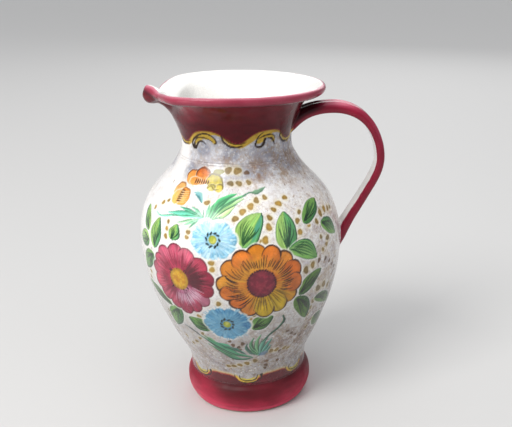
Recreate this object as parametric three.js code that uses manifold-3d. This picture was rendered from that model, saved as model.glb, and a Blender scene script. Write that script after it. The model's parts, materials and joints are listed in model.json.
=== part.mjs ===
// Large glazed ceramic jug: pedestal foot, ovoid belly, flared mouth with a
// pulled pouring spout and a strap handle, luted together with clay slip.
//
// Millimetres, +Z up.  The origin is the centre of the resting plane of the
// foot.  The handle stands on +X and the spout pours towards -X.
//
// Turned pieces are profiles of [radius, height] points spun about Z.  Angles
// about Z are measured from the spout axis.

import * as THREE from 'three';
import { mergeVertices } from 'three/addons/utils/BufferGeometryUtils.js';
import Module from 'manifold-3d';

// ---------------------------------------------------------------- dimensions
const HEIGHT = 370;              // resting plane to rim crest
const SEGMENTS = 54;             // facets round every turned piece
const CROWDING = 0.42;           // how much the facets crowd towards the spout
const WELD_TOLERANCE = 1e-4;

const BELLY_WALL = 7;            // wall of the foot and belly
const MOUTH_WALL = 6;            // wall of the neck and mouth
const BASE_THICK = 8;            // flat base inside the foot

// heights and outer radii where the turned pieces meet the slip between them
const FOOT_TOP = 40;
const FOOT_TOP_RADIUS = 72.6;
const FOOT_SLIP_THICK = 2;
const FOOT_SLIP_WAIST = 72.2;    // outer radius halfway up the slip
const BELLY_BASE = FOOT_TOP + FOOT_SLIP_THICK;
const BELLY_BASE_RADIUS = 72.7;
const BELLY_TOP = 300;
const BELLY_TOP_RADIUS = 64.2;
const NECK_SLIP_THICK = 2;
const NECK_SLIP_WAIST = 63.5;
const MOUTH_BASE = BELLY_TOP + NECK_SLIP_THICK;
const MOUTH_BASE_RADIUS = 63.1;

// ---------------------------------------------------------- profile geometry
// Angle of a facet edge.
function facetAngle(edge) {
  const even = (edge / SEGMENTS) * Math.PI * 2;
  return even - CROWDING * Math.sin(even);
}

// Spins a profile about Z.  profileAt(angle) gives the profile at each facet
// edge, always with the same number of points.
function spinVarying(profileAt) {
  const start = profileAt(0);
  const rows = start.length;
  // The lathe supplies the triangles; its vertices are then placed one by one.
  const lathe = new THREE.LatheGeometry(
    start.map(([radius, z]) => new THREE.Vector2(radius, z)), SEGMENTS);
  const { position } = lathe.attributes;
  for (let s = 0; s <= SEGMENTS; s++) {
    const angle = facetAngle(s % SEGMENTS);
    profileAt(angle).forEach(([radius, z], i) => {
      position.setXYZ(s * rows + i, -radius * Math.cos(angle), radius * Math.sin(angle), z);
    });
  }
  return weld(lathe);
}

function spin(profile) {
  return spinVarying(() => profile);
}

// Merges shared corners, drops collapsed triangles and turns the rest outwards.
function weld(source) {
  source.deleteAttribute('normal');
  source.deleteAttribute('uv');
  const welded = mergeVertices(source, WELD_TOLERANCE);
  const corners = welded.index.array;
  const triangles = [];
  for (let i = 0; i < corners.length; i += 3) {
    const [a, b, c] = corners.slice(i, i + 3);
    if (a !== b && b !== c && c !== a) triangles.push(a, b, c);
  }
  if (signedVolume(welded.attributes.position.array, triangles) < 0) {
    for (let i = 0; i < triangles.length; i += 3) {
      [triangles[i], triangles[i + 1]] = [triangles[i + 1], triangles[i]];
    }
  }
  welded.setIndex(triangles);
  return welded;
}

// Volume inside the triangles; negative when they face inwards.
function signedVolume(coords, triangles) {
  let sum = 0;
  for (let i = 0; i < triangles.length; i += 3) {
    const [a, b, c] = [triangles[i] * 3, triangles[i + 1] * 3, triangles[i + 2] * 3];
    sum += coords[a] * (coords[b + 1] * coords[c + 2] - coords[b + 2] * coords[c + 1])
      - coords[a + 1] * (coords[b] * coords[c + 2] - coords[b + 2] * coords[c])
      + coords[a + 2] * (coords[b] * coords[c + 1] - coords[b + 1] * coords[c]);
  }
  return sum / 6;
}

// Moves an open profile sideways.  For an outer profile that runs upwards, a
// positive distance is into the wall and a negative one is outwards.
function offsetProfile(points, distance) {
  return points.map(([radius, z], i) => {
    const before = points[Math.max(0, i - 1)];
    const after = points[Math.min(points.length - 1, i + 1)];
    const alongR = after[0] - before[0];
    const alongZ = after[1] - before[1];
    const length = Math.hypot(alongR, alongZ);
    return [radius - (alongZ / length) * distance, z + (alongR / length) * distance];
  });
}

function closeLoop(points) {
  return [...points, points[0]];
}

function mix(from, to, share) {
  return from + (to - from) * share;
}

// ---------------------------------------------------------------------- foot
// outer profile, resting plane to joint
const FOOT_OUTER = [
  [71.1, 0], [73.4, 3], [76.0, 8], [78.2, 14], [79.1, 21],
  [78.6, 28], [76.6, 34], [FOOT_TOP_RADIUS, FOOT_TOP],
];
const FOOT_HOLLOW_START = 3;     // first point of FOOT_OUTER with a wall behind it
// rounded corner between the inside of the wall and the flat base
const FOOT_INNER_CORNER = [[67.4, 10.2], [61, BASE_THICK]];

// A cup: the flat base, and a wall that carries the hollow up to the belly.
function buildFoot() {
  const inner = offsetProfile(FOOT_OUTER.slice(FOOT_HOLLOW_START), BELLY_WALL).reverse();
  inner[0] = [FOOT_TOP_RADIUS - BELLY_WALL, FOOT_TOP];
  return spin([[0, 0], ...FOOT_OUTER, ...inner, ...FOOT_INNER_CORNER, [0, BASE_THICK]]);
}

// --------------------------------------------------------------------- belly
// outer profile, lower joint to upper joint
const BELLY_OUTER = [
  [BELLY_BASE_RADIUS, BELLY_BASE], [72.7, 52], [74.2, 63], [79.0, 75],
  [87.6, 93], [96.6, 115], [104.0, 135], [110.0, 156], [114.0, 178],
  [115.3, 200], [114.2, 220], [109.8, 239], [101.9, 256], [92.0, 268],
  [80.2, 279.5], [70.6, 290], [BELLY_TOP_RADIUS, BELLY_TOP],
];

// A shell open at both ends; its upper edge is as thick as the neck wall.
function buildBelly() {
  const inner = offsetProfile(BELLY_OUTER, BELLY_WALL).reverse();
  inner[0] = [BELLY_TOP_RADIUS - MOUTH_WALL, BELLY_TOP];
  inner[inner.length - 1] = [BELLY_BASE_RADIUS - BELLY_WALL, BELLY_BASE];
  return spin(closeLoop([...BELLY_OUTER, ...inner]));
}

// ------------------------------------------------------ slip between pieces
// Ring of slip between two outer edges [radius, height], waisted halfway up.
function buildSlipRing({ lower, upper, waist, wall }) {
  return spin(closeLoop([
    lower, [waist, (lower[1] + upper[1]) / 2], upper,
    [upper[0] - wall, upper[1]], [lower[0] - wall, lower[1]],
  ]));
}

function buildFootSlip() {
  return buildSlipRing({
    lower: [FOOT_TOP_RADIUS, FOOT_TOP],
    upper: [BELLY_BASE_RADIUS, BELLY_BASE],
    waist: FOOT_SLIP_WAIST,
    wall: BELLY_WALL,
  });
}

function buildNeckSlip() {
  return buildSlipRing({
    lower: [BELLY_TOP_RADIUS, BELLY_TOP],
    upper: [MOUTH_BASE_RADIUS, MOUTH_BASE],
    waist: NECK_SLIP_WAIST,
    wall: MOUTH_WALL,
  });
}

// --------------------------------------------------------------------- mouth
// outer profile of the neck, the same all round
const NECK_OUTER = [
  [MOUTH_BASE_RADIUS, MOUTH_BASE], [60.6, 309], [60.1, 316], [61.3, 324], [64.0, 332.5],
];
// neck and mouth away from the spout, up to the crotch under the rim bead
const MOUTH_OUTER = [
  ...NECK_OUTER,
  [67.6, 341.5], [71.8, 349], [76.4, 355.4], [81.2, 360.0], [85.8, 361.8],
];
// the rolled rim bead, from under the bead over the crest to the inside
const RIM_BEAD = [
  [91.2, 361.2], [95.4, 363.3], [96.9, 366.3], [96.0, 369.0],
  [93.4, HEIGHT], [89.6, 369.0],
];
// the same points on the spout axis, where the lip is drawn out and rolled
// down over itself
const SPOUT_OUTER = [
  ...NECK_OUTER,
  [67.8, 340.0], [72.4, 345.4], [77.2, 349.0], [81.4, 350.4], [84.6, 350.0],
];
const SPOUT_BEAD = [
  [89.4, 350.4], [93.6, 353.2], [95.2, 357.8], [93.6, 363.0],
  [89.4, 367.6], [85.0, 367.9],
];

// rim crest round the mouth: [degrees from the spout axis, radius, height]
const RIM_RADIUS = 94.5;         // radius of the rim crest away from the spout
const CREST = [
  [0, 79.6, 363.6], [11.5, 80.2, 363.6], [22, 81.6, 365.0], [31, 84.2, 366.4],
  [38, 87.2, 367.2], [45, 91.0, 367.9], [52, 93.6, 368.4], [75, 94.4, 369.6],
  [100, RIM_RADIUS, HEIGHT], [180, RIM_RADIUS, HEIGHT],
];
const CREST_EASING = 0.35;       // share of smoothstep between crest stations
const CREST_PULL_START = 338;    // height where the profile begins to follow the crest
const CREST_PULL_END = 364;      // height where it follows the crest fully
const LIP_SPREAD = 9.5;          // half angle of the drawn lip, degrees

// Crest [radius, height] at an angle in degrees.
function crestAt(degrees) {
  let i = 0;
  while (i < CREST.length - 2 && CREST[i + 1][0] < degrees) i++;
  const [start, startRadius, startZ] = CREST[i];
  const [end, endRadius, endZ] = CREST[i + 1];
  const share = THREE.MathUtils.smoothstep(degrees, start, end) * CREST_EASING
    + ((degrees - start) / (end - start)) * (1 - CREST_EASING);
  return [mix(startRadius, endRadius, share), mix(startZ, endZ, share)];
}

// Moves rim points with the crest, then blends them into the spout points.
function shapeMouth(rimPoints, spoutPoints, angle) {
  const turn = (angle * 180) / Math.PI;
  const degrees = turn > 180 ? 360 - turn : turn;
  const [crestRadius, crestZ] = crestAt(degrees);
  const lip = Math.exp(-((degrees / LIP_SPREAD) ** 2));
  return rimPoints.map(([radius, z], i) => {
    const pull = THREE.MathUtils.smoothstep(z, CREST_PULL_START, CREST_PULL_END);
    const [spoutRadius, spoutZ] = spoutPoints[i];
    return [
      mix(radius + pull * (crestRadius - RIM_RADIUS), spoutRadius, lip),
      mix(z + pull * (crestZ - HEIGHT), spoutZ, lip),
    ];
  });
}

function mouthOuterAt(angle) {
  return shapeMouth(MOUTH_OUTER, SPOUT_OUTER, angle);
}

function buildMouth() {
  return spinVarying((angle) => {
    const outer = mouthOuterAt(angle);
    const bead = shapeMouth(RIM_BEAD, SPOUT_BEAD, angle);
    const inner = offsetProfile(outer.slice(0, -1), MOUTH_WALL).reverse();
    inner[inner.length - 1] = [MOUTH_BASE_RADIUS - MOUTH_WALL, MOUTH_BASE];
    return closeLoop([...outer, ...bead, ...inner]);
  });
}

// --------------------------------------------------------------------- strap
const STRAP_WIDTH = 25;          // along Y
const STRAP_THICK = 10;
const CURVE_DIVISIONS = 4;       // divisions of each curve in the section

// centreline in the XZ plane, top to bottom: [x, z, width factor, thickness factor]
const STRAP = [
  [58.0, 329.8, 1.42, 1.38], [66.0, 335.8, 1.28, 1.28],
  [76.0, 341.1, 1.14, 1.20], [89.0, 344.7, 1.02, 1.16],
  [102.0, 346.0, 1.00, 1.16], [114.0, 345.4, 1.00, 1.15],
  [125.6, 342.4, 1.00, 1.11], [137.0, 336.4, 1.00, 1.05],
  [146.8, 327.0, 1.00, 1.00], [154.1, 315.0, 1.00, 0.97],
  [158.4, 302.2, 1.00, 0.96], [159.6, 290.0, 1.00, 0.96],
  [157.7, 279.3, 1.00, 0.96], [153.1, 268.6, 1.00, 0.97],
  [147.1, 258.0, 1.00, 0.98], [140.5, 246.9, 1.00, 1.00],
  [134.0, 236.3, 1.02, 1.02], [127.5, 226.0, 1.06, 1.06],
  [121.1, 215.0, 1.14, 1.18], [114.9, 204.5, 1.24, 1.36],
  [108.0, 194.0, 1.30, 1.50],
];

// Rounded section: flat inside, two soft ridges outside.  The first number of
// a point runs across the strap (Y), the second outwards from the centreline.
function strapSection() {
  const halfWidth = STRAP_WIDTH / 2;
  const halfThick = STRAP_THICK / 2;
  const outline = new THREE.Shape();
  // Two control points and an end point, in half widths and half thicknesses.
  const curve = (x1, y1, x2, y2, x, y) => outline.bezierCurveTo(
    x1 * halfWidth, y1 * halfThick, x2 * halfWidth, y2 * halfThick,
    x * halfWidth, y * halfThick);
  outline.moveTo(halfWidth, -0.25 * halfThick);
  curve(1, 0.75, 0.72, 1, 0.5, 1);
  curve(0.3, 1, 0.2, 0.8, 0, 0.8);
  curve(-0.2, 0.8, -0.3, 1, -0.5, 1);
  curve(-0.72, 1, -1, 0.75, -1, -0.25);
  curve(-1, -0.9, -0.8, -1, -0.55, -1);
  outline.lineTo(0.55 * halfWidth, -halfThick);
  curve(0.8, -1, 1, -0.9, 1, -0.25);
  return outline.getPoints(CURVE_DIVISIONS).slice(0, -1);
}

// Lofts the section between two parameters (0 to 1) of the centreline, with
// every side moved out by about `grow`.
function loftStrap({ from, to, steps, grow }) {
  const path = new THREE.CatmullRomCurve3(
    STRAP.map(([x, z]) => new THREE.Vector3(x, 0, z)));
  const factors = new THREE.CatmullRomCurve3(
    STRAP.map(([, , width, thick]) => new THREE.Vector3(width, thick, 0)));
  const section = strapSection();
  const count = section.length;
  const vertices = [];
  const index = [];
  const parameter = (step) => from + ((to - from) * step) / steps;

  for (let s = 0; s <= steps; s++) {
    const centre = path.getPoint(parameter(s));
    const along = path.getTangent(parameter(s));
    const factor = factors.getPoint(parameter(s));
    const widthScale = factor.x + (2 * grow) / STRAP_WIDTH;
    const thickScale = factor.y + (2 * grow) / STRAP_THICK;
    for (const { x: across, y: outwards } of section) {
      vertices.push(
        centre.x - along.z * outwards * thickScale,
        across * widthScale,
        centre.z + along.x * outwards * thickScale);
    }
  }

  for (let s = 0; s < steps; s++) {
    for (let i = 0; i < count; i++) {
      const here = s * count + i;
      const beside = s * count + ((i + 1) % count);
      index.push(here, beside, here + count, beside, beside + count, here + count);
    }
  }

  // end caps, fanned from the centreline
  for (const s of [0, steps]) {
    const hub = vertices.length / 3;
    const centre = path.getPoint(parameter(s));
    vertices.push(centre.x, 0, centre.z);
    for (let i = 0; i < count; i++) {
      const here = s * count + i;
      const beside = s * count + ((i + 1) % count);
      if (s === 0) index.push(hub, beside, here);
      else index.push(hub, here, beside);
    }
  }

  const loft = new THREE.BufferGeometry();
  loft.setAttribute('position', new THREE.Float32BufferAttribute(vertices, 3));
  loft.setIndex(index);
  return weld(loft);
}

// ------------------------------------------------- handle and its slip joints
const LUTE_GAP = 0.3;            // clearance on either side of a handle slip joint
const LUTE_THICK = 1.6;          // thickness of the handle slip joints
const LUTE_SPREAD = 3.2;         // how far the slip spreads round the strap
// stretches of the centreline, as parameters from 0 (top) to 1 (bottom)
const HANDLE_SPAN = { from: 0, to: 1, steps: 34, grow: 0 };
const UPPER_LUTE_SPAN = { from: 0, to: 0.24, steps: 6, grow: LUTE_SPREAD };
const LOWER_LUTE_SPAN = { from: 0.8, to: 1, steps: 6, grow: LUTE_SPREAD };
// how far the solid mouth space reaches past the mouth's outer profile
const SPACE_BELOW = 12;
const SPACE_BESIDE = 3;
const SPACE_ABOVE = 5;

const manifold = await Module();
manifold.setup();

function toSolid(source) {
  return new manifold.Manifold(new manifold.Mesh({
    numProp: 3,
    vertProperties: new Float32Array(source.attributes.position.array),
    triVerts: new Uint32Array(source.index.array),
  }));
}

// Geometry of the largest body of a cut, so that offcuts are dropped.
function largestBody(cut) {
  const [body] = cut.decompose().sort((a, b) => b.volume() - a.volume());
  const mesh = body.getMesh();
  const result = new THREE.BufferGeometry();
  result.setAttribute('position', new THREE.Float32BufferAttribute(mesh.vertProperties, 3));
  result.setIndex(Array.from(mesh.triVerts));
  return result;
}

// The space filled by the neck and mouth, grown outwards.
function mouthSpace(grow) {
  return toSolid(spinVarying((angle) => {
    const outer = offsetProfile(mouthOuterAt(angle), -grow);
    const bottom = MOUTH_BASE - SPACE_BELOW;
    const top = HEIGHT + SPACE_ABOVE;
    return [
      [0, bottom], [outer[0][0], bottom], ...outer,
      [outer[outer.length - 1][0] + SPACE_BESIDE, top], [0, top],
    ];
  }));
}

// The space filled by the belly, grown outwards.
function bellySpace(grow) {
  const outer = offsetProfile(BELLY_OUTER, -grow);
  return toSolid(spin([[0, outer[0][1]], ...outer, [0, outer[outer.length - 1][1]]]));
}

// The strap, cut back at both ends to leave room for the slip.
function buildHandle() {
  const clearance = LUTE_GAP + LUTE_THICK + LUTE_GAP;
  return largestBody(toSolid(loftStrap(HANDLE_SPAN))
    .subtract(mouthSpace(clearance))
    .subtract(bellySpace(clearance)));
}

// A layer of slip that follows a body's surface round one end of the strap.
function buildLute(span, bodySpace) {
  return largestBody(toSolid(loftStrap(span))
    .intersect(bodySpace(LUTE_GAP + LUTE_THICK))
    .subtract(bodySpace(LUTE_GAP)));
}

// --------------------------------------------------------------------- group
const jug = new THREE.Group();

function add(name, shape, { color, roughness }) {
  const material = new THREE.MeshStandardMaterial({ color, roughness, metalness: 0 });
  const mesh = new THREE.Mesh(shape, material);
  mesh.name = name;
  jug.add(mesh);
}

add('pedestal_foot', buildFoot(), { color: 0xb0304a, roughness: 0.18 });
add('foot_slip_joint', buildFootSlip(), { color: 0xa39a90, roughness: 0.3 });
add('belly', buildBelly(), { color: 0xd9d2cc, roughness: 0.2 });
add('neck_slip_joint', buildNeckSlip(), { color: 0x8c2036, roughness: 0.3 });
add('flared_mouth', buildMouth(), { color: 0x7d1a2c, roughness: 0.16 });
add('strap_handle', buildHandle(), { color: 0xa8233f, roughness: 0.16 });
add('handle_upper_slip_joint', buildLute(UPPER_LUTE_SPAN, mouthSpace),
  { color: 0x8a1c33, roughness: 0.3 });
add('handle_lower_slip_joint', buildLute(LOWER_LUTE_SPAN, bellySpace),
  { color: 0xa8233f, roughness: 0.3 });

export default jug;
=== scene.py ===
# A large hand-painted glazed jug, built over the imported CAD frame.
#
# The painted decoration is computed here: each flower, leaf, stroke and dot is
# a small formula evaluated over the fine surface in unrolled coordinates
# (u round the body, v along its profile, both in millimetres), and stored as
# attributes that the node materials read.

import json
import math

import bpy
import numpy as np
from mathutils import Matrix, Vector

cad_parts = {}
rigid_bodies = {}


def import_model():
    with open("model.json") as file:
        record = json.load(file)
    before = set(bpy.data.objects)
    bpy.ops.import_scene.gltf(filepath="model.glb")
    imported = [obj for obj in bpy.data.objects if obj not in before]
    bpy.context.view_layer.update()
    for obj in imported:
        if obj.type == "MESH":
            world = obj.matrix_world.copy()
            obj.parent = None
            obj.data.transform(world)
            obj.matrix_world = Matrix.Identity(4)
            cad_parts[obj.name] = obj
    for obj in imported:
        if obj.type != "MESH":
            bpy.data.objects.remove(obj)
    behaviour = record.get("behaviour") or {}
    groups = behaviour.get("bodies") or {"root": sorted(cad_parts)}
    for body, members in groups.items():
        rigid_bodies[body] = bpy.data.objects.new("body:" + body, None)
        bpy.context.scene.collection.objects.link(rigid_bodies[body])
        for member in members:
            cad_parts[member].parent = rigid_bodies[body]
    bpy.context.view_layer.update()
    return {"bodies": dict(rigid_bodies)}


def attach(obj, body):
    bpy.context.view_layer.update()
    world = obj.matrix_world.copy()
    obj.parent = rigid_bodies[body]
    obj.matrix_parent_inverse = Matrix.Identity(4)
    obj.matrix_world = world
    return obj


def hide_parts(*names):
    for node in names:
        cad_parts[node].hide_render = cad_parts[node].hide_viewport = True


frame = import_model()
MM = 0.001
R0 = 115.3  # radius at which u is a true distance
CIRC = 2 * math.pi * R0

# ------------------------------------------------------------------ profiles
FOOT_OUTER = [(71.1, 0), (73.4, 3), (76.0, 8), (78.2, 14), (79.1, 21), (78.6, 28), (76.6, 34), (72.6, 40)]
BELLY_OUTER = [
    (72.7, 42), (72.7, 52), (74.2, 63), (79.0, 75), (87.6, 93), (96.6, 115), (104.0, 135),
    (110.0, 156), (114.0, 178), (115.3, 200), (114.2, 220), (109.8, 239), (101.9, 256),
    (92.0, 268), (80.2, 279.5), (70.6, 290), (64.2, 300),
]
MOUTH_OUTER = [
    (63.1, 302), (60.6, 309), (60.1, 316), (61.3, 324), (64.0, 332.5),
    (67.6, 341.5), (71.8, 349), (76.4, 355.4), (81.2, 360.0), (85.8, 361.8),
]
RIM_BEAD = [(91.2, 361.2), (95.4, 363.3), (96.9, 366.3), (96.0, 369.0), (93.4, 370.0), (89.6, 369.0)]
SPOUT_OUTER = [
    (63.1, 302), (60.6, 309), (60.1, 316), (61.3, 324), (64.0, 332.5),
    (67.8, 340.0), (72.4, 345.4), (77.2, 349.0), (81.4, 350.4), (84.6, 350.0),
]
SPOUT_BEAD = [(89.4, 350.4), (93.6, 353.2), (95.2, 357.8), (93.6, 363.0), (89.4, 367.6), (85.0, 367.9)]
CREST = [
    (0, 79.6, 363.6), (11.5, 80.2, 363.6), (22.0, 81.6, 365.0), (31.0, 84.2, 366.4), (38.0, 87.2, 367.2),
    (45.0, 91.0, 367.9), (52.0, 93.6, 368.4), (75, 94.4, 369.6), (100, 94.5, 370.0), (180, 94.5, 370.0),
]
BELLY_WALL = 7.0
MOUTH_WALL = 6.0


def smooth(t):
    t = np.clip(t, 0.0, 1.0)
    return t * t * (3 - 2 * t)


def ss(a, b, x):
    return smooth((x - a) / (b - a))


def pchip(x, y, q):
    """Monotone cubic interpolation of y(x) at q."""
    x, y, q = np.asarray(x, float), np.asarray(y, float), np.asarray(q, float)
    h = np.diff(x)
    d = np.diff(y) / h
    m = np.zeros_like(y)
    for k in range(1, len(x) - 1):
        if d[k - 1] * d[k] > 0:
            w1, w2 = 2 * h[k] + h[k - 1], h[k] + 2 * h[k - 1]
            m[k] = (w1 + w2) / (w1 / d[k - 1] + w2 / d[k])
    m[0] = ((2 * h[0] + h[1]) * d[0] - h[0] * d[1]) / (h[0] + h[1])
    m[-1] = ((2 * h[-1] + h[-2]) * d[-1] - h[-1] * d[-2]) / (h[-1] + h[-2])
    for k, dd in ((0, d[0]), (-1, d[-1])):
        if m[k] * dd <= 0:
            m[k] = 0.0
        elif abs(m[k]) > 3 * abs(dd):
            m[k] = 3 * dd
    i = np.clip(np.searchsorted(x, q, side="right") - 1, 0, len(x) - 2)
    t = (q - x[i]) / h[i]
    t2, t3 = t * t, t * t * t
    return (
        (2 * t3 - 3 * t2 + 1) * y[i] + (t3 - 2 * t2 + t) * h[i] * m[i]
        + (-2 * t3 + 3 * t2) * y[i + 1] + (t3 - t2) * h[i] * m[i + 1]
    )


def chord(points):
    p = np.asarray(points, float)
    return p, np.concatenate([[0], np.cumsum(np.hypot(*np.diff(p, axis=0).T))])


def spline(points, n):
    """n points evenly spread along a smooth curve through the given points."""
    p, t = chord(points)
    q = np.linspace(0, t[-1], 2001)
    x, z = pchip(t, p[:, 0], q), pchip(t, p[:, 1], q)
    s = np.concatenate([[0], np.cumsum(np.hypot(np.diff(x), np.diff(z)))])
    e = np.linspace(0, s[-1], n)
    return np.stack([np.interp(e, s, x), np.interp(e, s, z)], 1)


_p, _t = chord(FOOT_OUTER + BELLY_OUTER + MOUTH_OUTER)
_q = np.linspace(0, _t[-1], 4001)
PR, PZ = pchip(_t, _p[:, 0], _q), pchip(_t, _p[:, 1], _q)
PS = np.concatenate([[0], np.cumsum(np.hypot(np.diff(PR), np.diff(PZ)))])
PS = PS - np.interp(42, PZ, PS)


def eased(a, s, sigma=4.0):
    """The curve a(s), softened along the belly so that reflections run clean over it."""
    q = np.arange(s[0], s[-1] + 0.25, 0.25)
    y = np.interp(q, s, a)
    n = int(4 * sigma / 0.25)
    pad = np.concatenate([2 * y[0] - y[n:0:-1], y, 2 * y[-1] - y[-2 : -n - 2 : -1]])
    w = np.exp(-0.5 * (np.arange(-n, n + 1) * 0.25 / sigma) ** 2)
    soft = np.interp(s, q, np.convolve(pad, w / w.sum(), "valid"))
    keep = smooth((s - 4) / 14) * smooth((277 - s) / 10)
    return a * (1 - keep) + soft * keep


PR, PZ = eased(PR, PS), eased(PZ, PS)


def radius_at(v):
    return np.interp(v, PS, PR)


def height_at(v):
    return np.interp(v, PS, PZ)


def v_at(z):
    return float(np.interp(z, PZ, PS))


# --------------------------------------------------------------------- noise
def _hash(ix, iy, iz, seed):
    h = (
        ix.astype(np.uint32) * np.uint32(374761393)
        ^ iy.astype(np.uint32) * np.uint32(668265263)
        ^ iz.astype(np.uint32) * np.uint32(2246822519)
        ^ np.uint32((seed * 3266489917 + 374761) & 0xFFFFFFFF)
    )
    h ^= h >> np.uint32(15)
    h = h * np.uint32(2246822519)
    h ^= h >> np.uint32(13)
    h = h * np.uint32(3266489917)
    h ^= h >> np.uint32(16)
    return h.astype(np.float64) / 4294967295.0


def noise(p, period, seed=0):
    """Smooth value noise in -1..1 over points p (N x 3, mm)."""
    q = p / period + 512.0
    i = np.floor(q).astype(np.int64)
    f = q - i
    f = f * f * (3 - 2 * f)
    out = 0.0
    for dx in (0, 1):
        wx = f[:, 0] if dx else 1 - f[:, 0]
        for dy in (0, 1):
            wy = f[:, 1] if dy else 1 - f[:, 1]
            for dz in (0, 1):
                wz = f[:, 2] if dz else 1 - f[:, 2]
                out = out + wx * wy * wz * _hash(i[:, 0] + dx, i[:, 1] + dy, i[:, 2] + dz, seed)
    return out * 2 - 1


TURN = np.array([[0.8138, -0.4698, 0.3420], [0.5438, 0.8232, -0.1632], [-0.2048, 0.3188, 0.9254]])


def fbm(p, period, seed=0, octaves=3):
    """Layered noise, each layer turned against the last so that no layer lines up with the piece."""
    out, amp, tot = 0.0, 1.0, 0.0
    for k in range(octaves):
        p = p @ TURN
        out = out + amp * noise(p, period / 2**k, seed + 17 * k)
        tot += amp
        amp *= 0.5
    return out / tot


def noise2(x, y, px, py, seed):
    """Smooth value noise in -1..1 over a plane, with its own period each way."""
    return noise(np.stack([x / px, y / py, np.zeros_like(x)], 1), 1.0, seed)


def rgb(*c):
    return np.array(c, float) / 255.0


def to_linear(c):
    c = np.clip(c, 0, 1)
    return np.where(c <= 0.04045, c / 12.92, ((c + 0.055) / 1.055) ** 2.4)


# --------------------------------------------------------------- painting kit
class Paint:
    """A surface being painted: u, v in mm, k the true-width factor, p the points."""

    def __init__(self, u, v, k, p):
        self.u, self.v, self.k, self.p = u, v, k, p
        n = len(u)
        self.c = np.ones((n, 3))
        self.bare = np.ones(n)
        self.relief = np.zeros(n)
        self.aa = 0.55

    def near(self, u0, v0, ru, rv):
        du = (self.u - u0 + CIRC / 2) % CIRC - CIRC / 2
        i = np.nonzero((np.abs(du) < ru) & (np.abs(self.v - v0) < rv))[0]
        return i, du[i], self.v[i] - v0

    def lay(self, i, a, col, h=0.35):
        if len(i) == 0:
            return
        a = np.clip(a, 0, 1)
        self.c[i] = self.c[i] * (1 - a[:, None]) + np.asarray(col) * a[:, None]
        self.bare[i] *= 1 - a
        self.relief[i] = self.relief[i] * (1 - a) + h * a


def k_at(v):
    return float(radius_at(v)) / R0


def wrap_deg(a):
    return (a + 180.0) % 360.0 - 180.0


def blob(P, u0, v0, r, col, seed, edge=1.0, squash=1.0, halo=None):
    """A single dab of the brush."""
    k = k_at(v0)
    m = r * 2.4 + 2
    i, du, dv = P.near(u0, v0, m / k, m)
    if len(i) == 0:
        return
    x, y = du * k, dv / squash
    rho = np.hypot(x, y)
    ph = np.arctan2(y, x)
    wob = r * (1 + 0.14 * np.sin(2 * ph + seed) + 0.09 * np.sin(3 * ph + 2.1 * seed))
    if halo is not None:
        P.lay(i, 0.45 * ss(r * 2.1, r * 0.9, rho), halo, 0.1)
    body = ss(wob + edge * 0.6, wob - edge * 0.6, rho)
    tone = 1 + 0.10 * noise2(x, y, 1.6, 1.6, int(seed * 7) % 97) - 0.12 * ss(0.2 * r, r, rho)
    P.lay(i, 0.93 * body, np.clip(col * tone[:, None], 0, 1))


def stroke(P, pts, w0, w1, col, seed=0, w2=0.0, alpha=0.95, streak=0.12, light=None, h=0.35, edge=None):
    """A brush stroke along a smooth path of (u, v) points: w0 wide at the start, w1 in the middle, w2 at the end."""
    pts = np.asarray(pts, float)
    um, vm = pts.mean(0)
    k = k_at(vm)
    _, t = chord(pts)
    n = 26
    q = np.linspace(0, t[-1], n)
    if len(pts) > 2:
        a, b = pchip_free(t, pts[:, 0], q), pchip_free(t, pts[:, 1], q)
    else:
        a, b = np.interp(q, t, pts[:, 0]), np.interp(q, t, pts[:, 1])
    m = max(w0, w1, w2) + 2
    i, du, dv = P.near(um, vm, np.abs(a - um).max() + m / k, np.abs(b - vm).max() + m)
    if len(i) == 0:
        return
    x, y = du * k, dv
    ax, by = (a - um) * k, b - vm
    best = np.full(len(i), 1e9)
    along = np.zeros(len(i))
    side = np.zeros(len(i))
    for s in range(n - 1):
        ex, ey = ax[s + 1] - ax[s], by[s + 1] - by[s]
        L2 = ex * ex + ey * ey + 1e-12
        tt = np.clip(((x - ax[s]) * ex + (y - by[s]) * ey) / L2, 0, 1)
        px, py = x - ax[s] - tt * ex, y - by[s] - tt * ey
        d = np.hypot(px, py)
        hit = d < best
        best = np.where(hit, d, best)
        along = np.where(hit, (s + tt) / (n - 1), along)
        side = np.where(hit, np.sign(ex * (y - by[s]) - ey * (x - ax[s])) * d, side)
    w = np.where(
        along < 0.45,
        w0 + (w1 - w0) * smooth(along / 0.45),
        w1 + (w2 - w1) * np.clip((along - 0.45) / 0.55, 0, 1) ** 1.4,
    ) / 2
    w = w * (1 + 0.10 * np.sin(along * 17 + seed))
    a_ = ss(w + 0.45, w - 0.35, best)
    tone = streak * noise2(side, along, 0.55, 0.5, seed + 3)
    c = np.clip(col * (1 + tone[:, None]), 0, 1)
    if light is not None:
        g = ss(-0.6, 0.9, side / np.maximum(w, 0.3) + 0.5 * noise2(side, along, 0.8, 0.4, seed + 5))
        c = c * (1 - g[:, None]) + light * g[:, None]
    if edge is not None:
        rim = ss(0.45, 0.9, best / np.maximum(w, 0.2)) * (side < 0)
        c = c * (1 - 0.6 * rim[:, None]) + edge * 0.6 * rim[:, None]
    P.lay(i, alpha * a_, c, h)


def pchip_free(t, y, q):
    """Catmull-Rom style smooth curve, which may overshoot, for free strokes."""
    m = np.gradient(y, t)
    i = np.clip(np.searchsorted(t, q, side="right") - 1, 0, len(t) - 2)
    h = t[i + 1] - t[i]
    s = (q - t[i]) / h
    s2, s3 = s * s, s * s * s
    return (2 * s3 - 3 * s2 + 1) * y[i] + (s3 - 2 * s2 + s) * h * m[i] + (-2 * s3 + 3 * s2) * y[i + 1] + (s3 - s2) * h * m[i + 1]


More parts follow.
